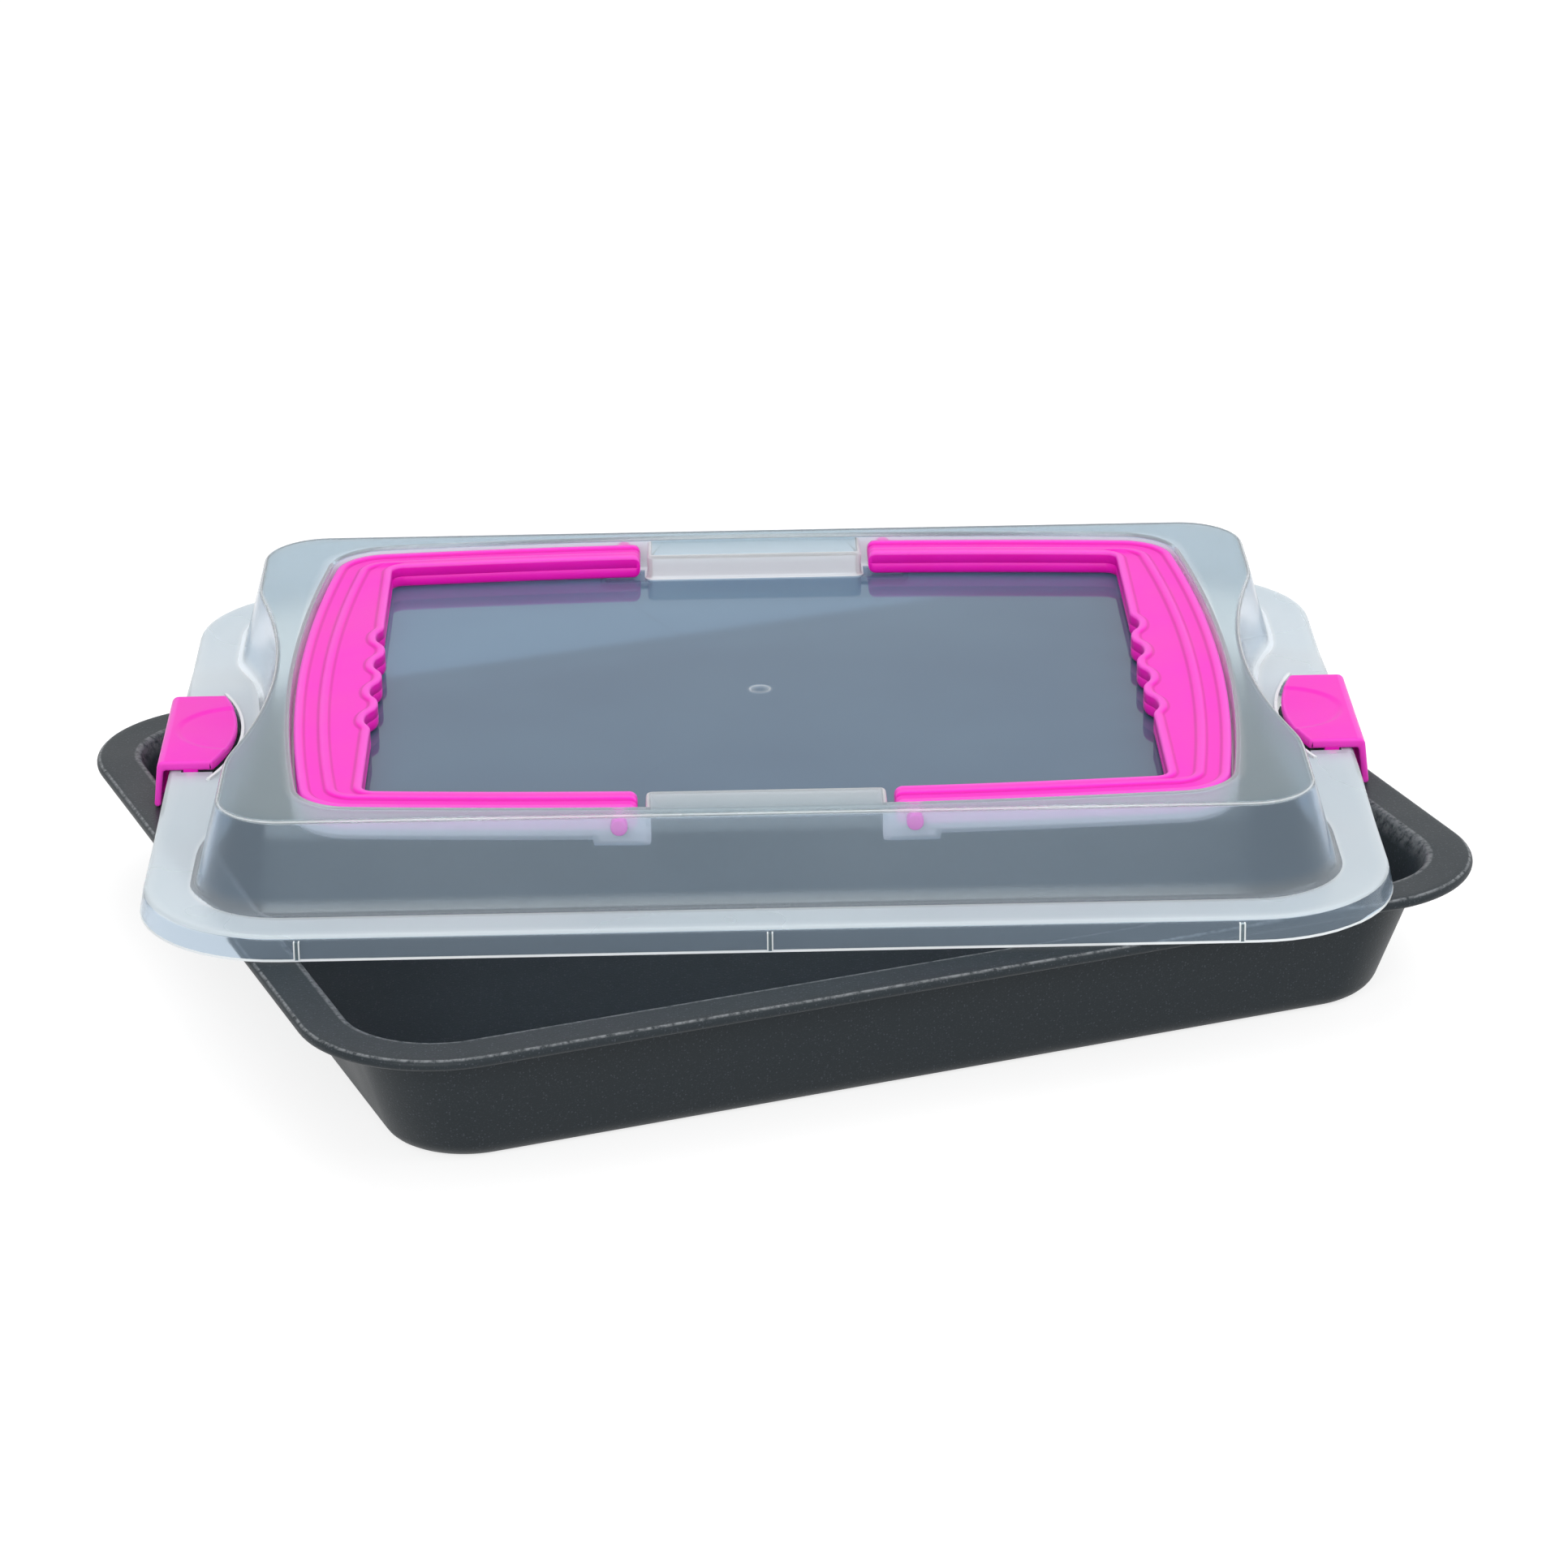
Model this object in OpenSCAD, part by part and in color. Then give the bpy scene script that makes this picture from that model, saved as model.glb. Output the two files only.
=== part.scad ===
// Oblong cake pan with a clip-on carrying lid. The lid lies askew on the pan's rim.
// The origin is the centre of the pan's underside, X runs along the lid's long sides, Z is up.

/* [Pan] */
// Length of the pan over its rolled rim
pan_l = 381; // [340:1:420]
// Width of the pan over its rolled rim
pan_w = 310; // [280:1:340]
// Height of the pan from its underside to the top of its rim
pan_h = 45.6; // [38:0.2:60]
// Thickness of the coated steel sheet
pan_t = 1; // [0.8:0.1:1.6]
// Corner radius of the rim's outer edge
pan_r = 43.5; // [38:0.5:55]
// Width of the flat rim, with its rolled edge
rim_w = 14; // [11:0.5:18]
// Thickness of the rolled edge
bead_d = 3.6; // [3:0.1:4.4]
// How far the end walls lean in from the rim to the bottom
lean_x = 15; // [8:0.5:20]
// How far the side walls lean in from the rim to the bottom
lean_y = 12.4; // [8:0.5:20]
// Corner radius of the bottom
base_r = 24; // [18:1:28]
// Outer radius of the bend between the bottom and the walls
bend_r = 9; // [6:0.5:14]
// Turn of the pan under the lid, in degrees
pan_turn = 20.3; // [0:0.1:25]

/* [Lid] */
// Wall thickness of the lid
lid_t = 1.6; // [1.2:0.1:2]
// Clearance between the skirt and the pan's rolled edge when the lid is on straight
rim_gap = 0.9; // [0.5:0.1:1.4]
// Place of the lid's centre along X
lid_x = -1; // [-6:0.5:6]
// Place of the lid's centre along Y
lid_y = 33; // [20:0.5:40]
// Height of the skirt, up to the top of the flange
skirt_h = 7.7; // [7:0.1:10]
// Draft of the skirt over its height
skirt_draft = 1.6; // [0.8:0.1:2]
// Radius of the flange's outer edge
flange_r = 1.8; // [1:0.1:2.4]
// Distance from the skirt's lower edge to the foot of the dome
flange_w = 17.3; // [16.5:0.1:18.5]
// Height of the dome above the flange
dome_h = 27.7; // [24:0.1:36]
// How far the dome's walls lean in over their height
dome_lean = 7.7; // [5:0.1:9]
// Radius of the dome's top edge
dome_edge_r = 2; // [1:0.1:3]
// Radius of the hollow in each end wall of the dome
scallop_r = 290; // [260:5:400]
// Depth of that hollow at the dome's top
scallop_d = 10.4; // [8:0.1:11]
// How much shallower the hollow is at the flange, besides the wall's lean
scallop_draft = 6; // [4:0.1:8]
// Rise of the flange under each clip
stage_h = 4.7; // [4:0.1:5.4]
// Half width of the level part of that rise
stage_flat = 38; // [36:0.5:42]
// Half width of the rise at its foot
stage_foot = 83; // [74:0.5:90]
// Width of the ribs on the skirt
rib_w = 1.9; // [1.2:0.1:3]
// How far those ribs stand out past the skirt's lower edge
rib_out = 0.2; // [0.1:0.1:0.6]
// Height of their lower ends above that edge
rib_up = 0.5; // [0.2:0.1:1.5]
// Distance from the outer ribs to the skirt's rounded corners
rib_in = 5; // [3:0.5:20]

/* [Recess] */
// Depth of the recess that holds the handles
recess_d = 9.6; // [8.6:0.1:12]
// Band between the recess and the dome's top edge, at the ends
end_band = 17; // [15:0.5:20]
// Band between the recess and the dome's top edge, at the sides
side_band = 6.5; // [5.5:0.1:9]
// Corner radius of the recess
recess_r = 19; // [16:1:28]
// Radius of the bowed ends of the recess
bow_r = 800; // [500:10:1200]
// Radius of the bowed sides of the recess
side_bow_r = 1500; // [1000:50:3000]
// Length of the two bosses between the handles' arms
boss_l = 73.6; // [60:0.2:90]
// Radius of their corners
boss_r = 2; // [1.7:0.1:4]
// Width of those bosses
boss_w = 16.4; // [14:0.2:18]
// How far the bosses and the handles lie below the dome's top
boss_drop = 1.4; // [0.8:0.1:2]
// Diameter of the mark that the moulding gate leaves in the floor
gate_d = 7; // [5:0.5:9]
// Depth of that mark
gate_deep = 0.4; // [0.2:0.1:0.8]

/* [Handles] */
// Width of a handle's arms
arm_w = 13.8; // [12:0.2:15]
// Width of a handle's grip
grip_w = 25.7; // [22:0.2:30]
// Gap between a handle and the bowed end of the recess
bow_gap = 1.2; // [1:0.1:2]
// Gap between a handle and the sides of the recess
side_gap = 2.6; // [2:0.1:4]
// Gap between a handle and the recess floor
floor_gap = 0.5; // [0.4:0.1:1]
// Gap between an arm's end and the boss
end_gap = 2.5; // [1.5:0.1:3]
// Distance from the pivot to the arm's end
tail = 5.6; // [5:0.1:6]
// Diameter of the pivot pins
pin_d = 5.2; // [4:0.1:5.6]
// Running clearance of a pin in its hole, on the radius
pin_fit = 0.06; // [0.04:0.01:0.1]
// How far a pin reaches past the recess wall
pin_past = 3.4; // [1:0.1:3.6]
// Radius of the upper and lower corners of an arm's end
tail_r = 2.6; // [1:0.1:3]
// Radius of the inner corners of a handle
inner_r = 4.5; // [3:0.5:8]
// Number of finger seats
fingers = 4; // [3:1:5]
// Distance from one finger seat to the next
finger_pitch = 25; // [20:0.1:28]
// How far the crests between the finger seats stand in from the grip's inner edge
finger_crest = 1.5; // [0:0.1:2.5]
// Depth of the finger seats below those crests
finger_wave = 3.2; // [2:0.1:5]

// Place of the seats' middle along the grip, towards the back
finger_y = -3.5; // [-8:0.5:8]
// Width of the raised lines on the handles
ridge_w = 2.8; // [2:0.1:3]
// Width of the groove inside the outer line
groove_w = 5.2; // [4:0.1:6]
// Depth of the sunk faces between the raised lines
groove_d = 0.8; // [0.4:0.1:1.2]

/* [Clips] */
// Width of a clip
clip_w = 60.6; // [50:0.2:66]
// Length of a clip, from its leg's outer face to its inner end
clip_l = 23.3; // [22.5:0.1:27]
// Thickness of a clip's plate
clip_t = 3.1; // [2.4:0.1:3.4]
// Thickness of a clip's leg
leg_t = 2.1; // [1.8:0.1:3]
// Gap between the leg and the skirt's lower edge
leg_gap = 0.6; // [0.5:0.1:1.4]
// How far the leg leans in from its foot to its top
leg_lean = 1.6; // [0:0.1:1.8]
// Radius of a clip's rounded inner end
clip_end_r = 85; // [60:1:110]
// Radius of the plate's outer edge
clip_edge_r = 2.2; // [1.6:0.1:2.6]
// Gap between a clip's plate and the flange
clip_lift = 0.2; // [0.2:0.05:0.5]
// Distance from the skirt's lower edge to the clip's pivot
pivot_in = 9.5; // [9:0.1:10.5]
// Depth of that pivot below the flange
pivot_down = 2.6; // [2.4:0.1:2.8]
// Diameter of the clip's pivot pins
clip_pin_d = 3; // [2.4:0.1:3.2]
// Gap between a clip and the sides of its window
window_gap = 0.7; // [0.5:0.1:1]
// Gap between a clip's inner end and the window
window_end_gap = 1.2; // [1.1:0.1:2.2]
// Radius of the window's rounded inner end
window_r = 95; // [80:1:140]
// Half width of the window's inner end
window_end_y = 33.5; // [32:0.5:38]
// Height of the lip round the window's inner end
lip_h = 0.8; // [0.4:0.1:1.2]
// Width of that lip
lip_w = 1; // [0.8:0.1:1.6]
// Half width of that lip
lip_y = 38.5; // [35:0.5:42]
// Depth of the wall round the window, below the flange
window_wall = 5.4; // [4.8:0.1:5.6]
// Width of the hook at the foot of the leg
hook_w = 36; // [24:1:44]
// Reach of the hook under the pan's rolled edge
hook_in = 1.1; // [0.8:0.1:1.6]
// Thickness of the hook
hook_t = 1.6; // [1.2:0.1:1.8]
// Radius of the thumb dish in a clip
thumb_r = 20; // [16:0.5:22]
// Depth of the thumb dish
thumb_d = 0.9; // [0.5:0.1:1.2]

/* [Hidden] */
$fn = 96;
// Overlap that keeps joined shapes and through cuts clean
eps = 0.6;
// Height of the thin slices that a rounded hull is made from
slice = 0.02;

// Lid sizes that follow from the pan
lid_over = rim_gap + lid_t;
lid_l = pan_l + 2 * lid_over;
lid_w = pan_w + 2 * lid_over;
lid_r = pan_r + lid_over;
lid_top = skirt_h + dome_h;
stage_z = skirt_h + stage_h;
foot_r = lid_r - flange_w;
dome_l = lid_l - 2 * (flange_w + dome_lean);
dome_w = lid_w - 2 * (flange_w + dome_lean);

// Half sizes of the recess and levels inside it
recess_x = dome_l / 2 - end_band;
recess_y = dome_w / 2 - side_band;
floor_z = lid_top - recess_d;
boss_top = lid_top - boss_drop;
boss_y = recess_y - boss_w;

// Half sizes and levels of the handles
grip_x = recess_x - bow_gap;
arm_y = recess_y - side_gap;
handle_z0 = floor_z + floor_gap;
handle_t = boss_top - handle_z0;
pin_x = boss_l / 2 + end_gap + tail;
pin_z = handle_z0 + handle_t / 2;
tail_reach = tail_r + norm([tail - tail_r, handle_t / 2 - tail_r]);
well_drop = max(0.5, tail_reach + floor_gap - (pin_z - floor_z));
well_x = pin_x + tail_reach + floor_gap;
arm_bow_r = side_bow_r - side_gap - arm_w;
arm_sag = arm_bow_r - sqrt(pow(arm_bow_r, 2) - pow(well_x, 2));

// Places of the clips, measured from the lid's centre
leg_x = lid_l / 2 + leg_gap + leg_t;
clip_x0 = leg_x - leg_lean - clip_l;
clip_corner_x = clip_x0 + clip_end_r - sqrt(pow(clip_end_r, 2) - pow(clip_w / 2, 2));
pivot_x = lid_l / 2 - pivot_in;
pivot_z = stage_z - pivot_down;
lug_r = clip_pin_d / 2 + 0.8;
window_x0 = clip_x0 - window_end_gap;
window_x1 = pivot_x + lug_r + window_gap;
lip_reach = window_r - sqrt(pow(window_r, 2) - pow(lip_y, 2));
window_y = clip_w / 2 + window_gap;
plate_z = stage_z + clip_lift;
hook_z = 0.3;

// Points of an arc round a centre, from one angle up to another, without the last point
function arc(c, r, a0, a1, n) =
    [for (i = [0 : n - 1]) let (a = a0 + (a1 - a0) * i / n) c + r * [cos(a), sin(a)]];

// The same with the last point
function full_arc(c, r, a0, a1, n) = concat(arc(c, r, a0, a1, n), [c + r * [cos(a1), sin(a1)]]);

// Centre of the circle r that touches a bowed end and a bowed side from inside, at the upper left
function bowed_corner(hx, hy, ra, rb, r) = let (
        a = [ra - hx, 0],
        b = [0, hy - rb],
        d = norm(b - a),
        u = (b - a) / d,
        t = (pow(ra - r, 2) - pow(rb - r, 2) + d * d) / (2 * d),
        h = sqrt(pow(ra - r, 2) - t * t)
    ) a + t * u + h * [u[1], -u[0]];

// Upper left quarter of a rectangle with bowed sides and round corners, from x = -xe to y = 0
function bowed_quarter(hx, hy, ra, rb, r, xe) = let (
        c = bowed_corner(hx, hy, ra, rb, r),
        a = [ra - hx, 0],
        b = [0, hy - rb],
        tb = atan2(c[1] - b[1], c[0]),
        ta = atan2(c[1], c[0] - a[0])
    ) concat(arc(b, rb, 90 + asin(xe / rb), tb, 8), arc(c, r, tb, ta, 8), full_arc(a, ra, ta, 180, 8));

// A list of points from the upper half followed by its image in the lower half
function with_mirror_image(q) = concat(q, [for (i = [len(q) - 2 : -1 : 0]) [q[i][0], -q[i][1]]]);

// A smooth step from 0 to 1
function ease(t) = t * t * (3 - 2 * t);

// Flat rounded rectangle about the origin
module rounded(l, w, r) {
    square([l, w - 2 * r], center = true);
    square([l - 2 * r, w], center = true);
    for (sx = [-1, 1], sy = [-1, 1])
        translate([sx * (l / 2 - r), sy * (w / 2 - r)]) circle(r);
}

// Sweeps a section round a rounded rectangle. The section's x is measured from the corner centre.
module swept(l, w, r) {
    cx = l / 2 - r;
    cy = w / 2 - r;
    for (i = [0 : 3])
        translate([(i == 0 || i == 3 ? 1 : -1) * cx, (i < 2 ? 1 : -1) * cy, 0])
            rotate([0, 0, 90 * i]) rotate_extrude(angle = 90) children();
    for (i = [0, 180]) rotate([0, 0, i]) {
        translate([cx, 0, 0]) rotate([90, 0, 0])
            linear_extrude(height = 2 * cy, center = true) children();
        translate([0, cy, 0]) rotate([0, 0, 90]) rotate([90, 0, 0])
            linear_extrude(height = 2 * cx, center = true) children();
    }
}

// Solid rounded block whose wall follows a list of [radius, height] points from bottom to top
module turned_block(l, w, r, wall) {
    z0 = wall[0][1];
    z1 = wall[len(wall) - 1][1];
    swept(l, w, r) polygon(concat([[0, z0]], wall, [[0, z1]]));
    translate([0, 0, (z0 + z1) / 2]) cube([l - 2 * r, w - 2 * r, z1 - z0], center = true);
}

// PAN

// Convex inside or outside of the pan, shrunk by d on every side
module pan_form(d, top) {
    l = pan_l - 2 * rim_w;
    w = pan_w - 2 * rim_w;
    r = pan_r - rim_w;
    rb = bend_r - d;
    lean = atan(max(lean_x, lean_y) / pan_h);
    hull() {
        for (a = [0 : 15 : 75]) {
            up = d + rb * (1 - cos(a));
            in_x = lean_x * (1 - up / pan_h) + d + rb * max(0, 1 - sin(a + lean));
            in_y = lean_y * (1 - up / pan_h) + d + rb * max(0, 1 - sin(a + lean));
            translate([0, 0, up]) linear_extrude(height = slice)
                rounded(l - 2 * in_x, w - 2 * in_y, base_r - d - rb * max(0, 1 - sin(a + lean)) * 0.5);
        }
        translate([0, 0, top - slice]) linear_extrude(height = slice)
            rounded(l - 2 * d, w - 2 * d, r - d);
    }
}

module pan() {
    color("#2c2d31")
    rotate([0, 0, pan_turn]) {
        difference() {
            pan_form(0, pan_h);
            pan_form(pan_t, pan_h + slice);
        }
        translate([0, 0, pan_h - pan_t]) linear_extrude(height = pan_t) difference() {
            rounded(pan_l - bead_d, pan_w - bead_d, pan_r - bead_d / 2);
            rounded(pan_l - 2 * (rim_w + pan_t / 2), pan_w - 2 * (rim_w + pan_t / 2),
                    pan_r - rim_w - pan_t / 2);
        }
        swept(pan_l, pan_w, pan_r)
            translate([pan_r - bead_d / 2, pan_h - bead_d / 2]) circle(d = bead_d, $fn = 24);
    }
}

// LID

// Wall points of the skirt, shrunk by d, up to height z
function skirt_wall(d, z) = let (lean = skirt_draft / skirt_h, top = z - d) d > 0
    ? [[lid_r - d + lean * eps, -eps], [lid_r - d - lean * top, top]]
    : concat([[lid_r, 0]],
             full_arc([lid_r - lean * (z - flange_r) - flange_r, z - flange_r], flange_r, 0, 90, 4));

// Wall points of the dome, shrunk by d
function dome_wall(d) = let (lean = dome_lean / dome_h, r = foot_r - d) d > 0
    ? [[r + lean * (eps + d), skirt_h - d - eps], [r - dome_lean + lean * d, lid_top - d]]
    : concat([[r + lean * eps, skirt_h - eps]],
             full_arc([r - dome_lean + lean * dome_edge_r - dome_edge_r, lid_top - dome_edge_r],
                      dome_edge_r, 0, 90, 4));

// Hollows in the dome's end walls, widened by d
module scallops(d) {
    deep = dome_l / 2 - scallop_d;
    grow = scallop_draft / dome_h;
    for (s = [-1, 1])
        translate([s * (deep + scallop_r), 0, skirt_h - d - eps])
            cylinder(h = dome_h + d + 2 * eps, r1 = scallop_r - scallop_draft - grow * (d + eps) + d,
                     r2 = scallop_r + grow * eps + d, $fn = 180);
}

// Side view of the flange's rise, lowered by d
module stage_side(d) {
    n = 8;
    run = stage_foot - stage_flat;
    up = [for (i = [0 : n]) [-stage_foot + run * i / n, skirt_h - d + stage_h * ease(i / n)]];
    down = [for (i = [n : -1 : 0]) [stage_foot - run * i / n, skirt_h - d + stage_h * ease(i / n)]];
    polygon(concat([[-stage_foot, 0]], up, down, [[stage_foot, 0]]));
}

// Raised stages under the clips, shrunk by d
module stages(d) {
    intersection() {
        turned_block(lid_l, lid_w, lid_r, skirt_wall(d, stage_z));
        for (s = [-1, 1]) translate([s * (lid_l / 2 - flange_w), 0, 0]) rotate([90, 0, 90])
            linear_extrude(height = 2 * flange_w + 2 * scallop_d - 2 * d, center = true)
                stage_side(d);
    }
}

// Outline of the recess, grown by d
module recess_plan(d) {
    q = bowed_quarter(recess_x + d, recess_y + d, bow_r + d, side_bow_r + d, recess_r + d, 0);
    half = with_mirror_image(q);
    polygon(concat(half, [for (i = [len(half) - 2 : -1 : 1]) [-half[i][0], half[i][1]]]));
}

// Outline of the bosses, shrunk by d
module boss_plan(d) {
    for (s = [-1, 1])
        translate([0, s * (boss_y + boss_w)])
            rounded(boss_l - 2 * d, 2 * (boss_w - d), boss_r - d);
}

// Space of the recess, grown by d into the plastic
module recess_space(d) {
    translate([0, 0, floor_z - d]) linear_extrude(height = recess_d + d + eps) difference() {
        recess_plan(d);
        boss_plan(d);
    }
    translate([0, 0, boss_top - d]) linear_extrude(height = boss_drop + d + eps) recess_plan(d);
    translate([0, 0, floor_z - well_drop - d]) linear_extrude(height = well_drop + d + eps)
        arm_wells(d);
}

// Outline of the wells in the floor that let the arms' ends swing down, grown by d
module arm_wells(d) {
    x = (boss_l / 2 + well_x) / 2;
    y0 = arm_y - arm_w - arm_sag - floor_gap;
    y = (y0 + recess_y) / 2;
    intersection() {
        recess_plan(d);
        for (sx = [-1, 1], sy = [-1, 1])
            translate([sx * x, sy * y])
                square([well_x - boss_l / 2 + 2 * d, recess_y - y0 + 2 * d], center = true);
    }
}

// Outline of a clip's window at the right end, grown by d
module window_plan(d) {
    intersection() {
        union() {
            translate([window_x0 - d, -window_y - d])
                square([window_x1 - window_x0 + 2 * d, 2 * (window_y + d)]);
            translate([window_x0 - d, -window_end_y - d])
                square([clip_corner_x - window_x0 + 2 * d, 2 * (window_end_y + d)]);
        }
        translate([window_x0 + window_r, 0]) circle(window_r + d, $fn = 180);
    }
}

// Lip on the flange round the inner end of the window
module lip() {
    translate([0, 0, stage_z - eps]) linear_extrude(height = lip_h + eps) difference() {
        intersection() {
            translate([window_x0 + window_r, 0]) circle(window_r + lip_w, $fn = 180);
            translate([window_x0 - lip_w, -lip_y]) square([lip_reach + lip_w, 2 * lip_y]);
        }
        translate([window_x0 + window_r, 0]) circle(window_r, $fn = 180);
    }
}

// Puts a shape at the right end of the lid and its image at the left end
module at_ends() {
    children();
    mirror([1, 0, 0]) children();
}

module lid() {
    color("#b4c0c8")
    translate([lid_x, lid_y, pan_h])
    difference() {
        union() {
            difference() {
                union() {
                    turned_block(lid_l, lid_w, lid_r, skirt_wall(0, skirt_h));
                    stages(0);
                    difference() {
                        turned_block(lid_l - 2 * flange_w, lid_w - 2 * flange_w, foot_r, dome_wall(0));
                        scallops(0);
                    }
                }
                recess_space(0);
                difference() {
                    union() {
                        turned_block(lid_l, lid_w, lid_r, skirt_wall(lid_t, skirt_h));
                        stages(lid_t);
                        difference() {
                            turned_block(lid_l - 2 * flange_w, lid_w - 2 * flange_w, foot_r,
                                         dome_wall(lid_t));
                            scallops(lid_t);
                        }
                    }
                    recess_space(lid_t);
                }
            }
            at_ends() {
                translate([0, 0, stage_z - window_wall])
                    linear_extrude(height = window_wall - lid_t / 2) window_plan(lid_t);
                lip();
            }
            skirt_ribs();
        }
        at_ends() {
            translate([0, 0, stage_z - window_wall - eps])
                linear_extrude(height = window_wall + lip_h + 2 * eps) window_plan(0);
            translate([pivot_x, 0, pivot_z]) rotate([90, 0, 0])
                cylinder(h = clip_w + 4 * lid_t + 4 * window_gap, d = clip_pin_d + 2 * pin_fit,
                         center = true, $fn = 48);
            translate([lid_l / 2 - 2 * lid_t, -hook_w / 2 - window_gap, -eps])
                cube([4 * lid_t, hook_w + 2 * window_gap, skirt_h - lid_t - window_gap + eps]);
        }
        for (sx = [-1, 1], sy = [-1, 1])
            translate([sx * pin_x, sy * (recess_y + lid_t / 2), pin_z]) rotate([90, 0, 0])
                cylinder(h = lid_t + 4 * eps, d = pin_d + 2 * pin_fit, center = true, $fn = 64);
        translate([0, 0, floor_z - gate_deep]) cylinder(h = gate_deep + eps, d = gate_d, $fn = 48);
    }
}

// Upright ribs on the long sides of the skirt
module skirt_ribs() {
    rib_x = lid_l / 2 - lid_r - rib_in;
    for (x = [-rib_x, 0, rib_x], turn = [0, 180])
        rotate([0, 0, turn]) translate([x - rib_w / 2, lid_w / 2 - lid_t, rib_up])
            cube([rib_w, lid_t + rib_out, skirt_h - flange_r - rib_up]);
}

// HANDLES

// Outer edge of the left handle, shrunk by d
function handle_outer(d) = with_mirror_image(
    bowed_quarter(grip_x - d, arm_y - d, bow_r - bow_gap - d, side_bow_r - side_gap - d,
                  recess_r - bow_gap - d, pin_x - tail));

// Inner edge of the left handle, grown by d towards the plastic
function handle_inner(d) = let (
        x0 = grip_x - grip_w + d,
        r = inner_r + d,
        ra = arm_bow_r + d,
        b = [0, arm_y - side_bow_r + side_gap],
        cx = r - x0,
        cy = b[1] + sqrt(pow(ra - r, 2) - cx * cx),
        n = fingers * 12,
        half = fingers * finger_pitch / 2,
        rear = concat(
            arc(b, ra, 90 + asin((pin_x - tail) / ra), atan2(cy - b[1], cx), 8),
            arc([cx, cy], r, atan2(cy - b[1], cx), 180, 5),
            [[-x0, cy]])
    ) concat(
        rear,
        [for (i = [0 : n]) let (y = half - 2 * half * i / n)
            [-x0 + finger_crest * (1 - pow(y / half, 4))
                - finger_wave * (1 - cos(360 * (half - y) / finger_pitch)) / 2, y + finger_y]],
        [for (i = [len(rear) - 1 : -1 : 0]) [rear[i][0], -rear[i][1]]]);

// Flat ring between the outer edge shrunk by a and the inner edge grown by b
module handle_ring(a, b) {
    inner = handle_inner(b);
    polygon(concat(handle_outer(a), [for (i = [len(inner) - 1 : -1 : 0]) inner[i]]));
}

// Side view of a handle, with the round corners of the arms' ends
module handle_side() {
    translate([-pin_x + tail - grip_x / 2, 0]) rounded(grip_x, handle_t, tail_r);
    translate([-grip_x - eps, -handle_t / 2]) square([grip_x - pin_x - tail, handle_t]);
}

module handle() {
    translate([0, 0, handle_z0]) difference() {
        intersection() {
            linear_extrude(height = handle_t) handle_ring(0, 0);
            translate([0, 0, handle_t / 2]) rotate([90, 0, 0])
                linear_extrude(height = 2 * arm_y + eps, center = true) handle_side();
        }
        translate([0, 0, handle_t - groove_d]) {
            linear_extrude(height = groove_d + eps) difference() {
                polygon(handle_outer(ridge_w));
                polygon(handle_outer(ridge_w + groove_w));
            }
            linear_extrude(height = groove_d + eps) handle_ring(2 * ridge_w + groove_w, ridge_w);
        }
    }
    for (s = [-1, 1])
        translate([-pin_x, s * (arm_y + (side_gap + lid_t + pin_past) / 2 - 1), pin_z])
            rotate([90, 0, 0])
                cylinder(d = pin_d, h = side_gap + lid_t + pin_past + 1, center = true, $fn = 64);
}

module left_handle() {
    color("#ff3cc8") translate([lid_x, lid_y, pan_h]) handle();
}

module right_handle() {
    color("#ff3cc8") translate([lid_x, lid_y, pan_h]) mirror([1, 0, 0]) handle();
}

// CLIPS

// Side view of a clip's plate and leg at the right end
module clip_side() {
    top = plate_z + clip_t;
    lean = leg_lean / (top - hook_z);
    foot = leg_t / 2;
    polygon(concat(
        [[clip_x0 - eps, plate_z], [leg_x - leg_t - lean * (plate_z - hook_z), plate_z]],
        full_arc([leg_x - foot, hook_z + foot], foot, 180, 360, 8),
        full_arc([leg_x - leg_lean + lean * clip_edge_r - clip_edge_r, top - clip_edge_r],
                 clip_edge_r, 0, 90, 6),
        [[clip_x0 - eps, top]]));
}

// Outline of a clip seen from above
module clip_plan() {
    intersection() {
        translate([clip_x0, -clip_w / 2]) square([leg_x - clip_x0, clip_w]);
        translate([clip_x0 + clip_end_r, 0]) circle(clip_end_r, $fn = 180);
    }
}

module clip() {
    hook_x = pan_l / 2 - hook_in;
    dish_r = (thumb_r * thumb_r + thumb_d * thumb_d) / (2 * thumb_d);
    difference() {
        intersection() {
            rotate([90, 0, 0]) linear_extrude(height = clip_w, center = true) clip_side();
            linear_extrude(height = plate_z + 2 * clip_t) clip_plan();
        }
        translate([clip_x0, 0, plate_z + clip_t - thumb_d + dish_r]) sphere(dish_r, $fn = 360);
    }
    translate([hook_x, -hook_w / 2, hook_z]) cube([leg_x - leg_t / 2 - hook_x, hook_w, hook_t]);
    for (s = [-1, 1]) {
        translate([pivot_x, s * (clip_w / 2 - clip_t / 2), 0]) {
            translate([0, 0, pivot_z]) rotate([90, 0, 0])
                cylinder(r = lug_r, h = clip_t, center = true, $fn = 48);
            translate([-lug_r, -clip_t / 2, pivot_z])
                cube([2 * lug_r, clip_t, plate_z - pivot_z + clip_t / 2]);
        }
        translate([pivot_x, s * (clip_w / 2 + (window_gap + lid_t) / 2), pivot_z]) rotate([90, 0, 0])
            cylinder(d = clip_pin_d, h = window_gap + lid_t + eps, center = true, $fn = 48);
    }
}

module left_clip() {
    color("#ff3cc8") translate([lid_x, lid_y, pan_h]) mirror([1, 0, 0]) clip();
}

module right_clip() {
    color("#ff3cc8") translate([lid_x, lid_y, pan_h]) clip();
}

pan();
lid();
left_handle();
right_handle();
left_clip();
right_clip();
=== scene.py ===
"""Cake pan with a clip-on carrying lid: finished surfaces, finishes, light and camera."""

import logging
import math
from dataclasses import dataclass, field
from enum import Enum
from typing import Callable, ClassVar, NamedTuple

import bmesh
import bpy
from mathutils import Matrix, Vector


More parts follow.
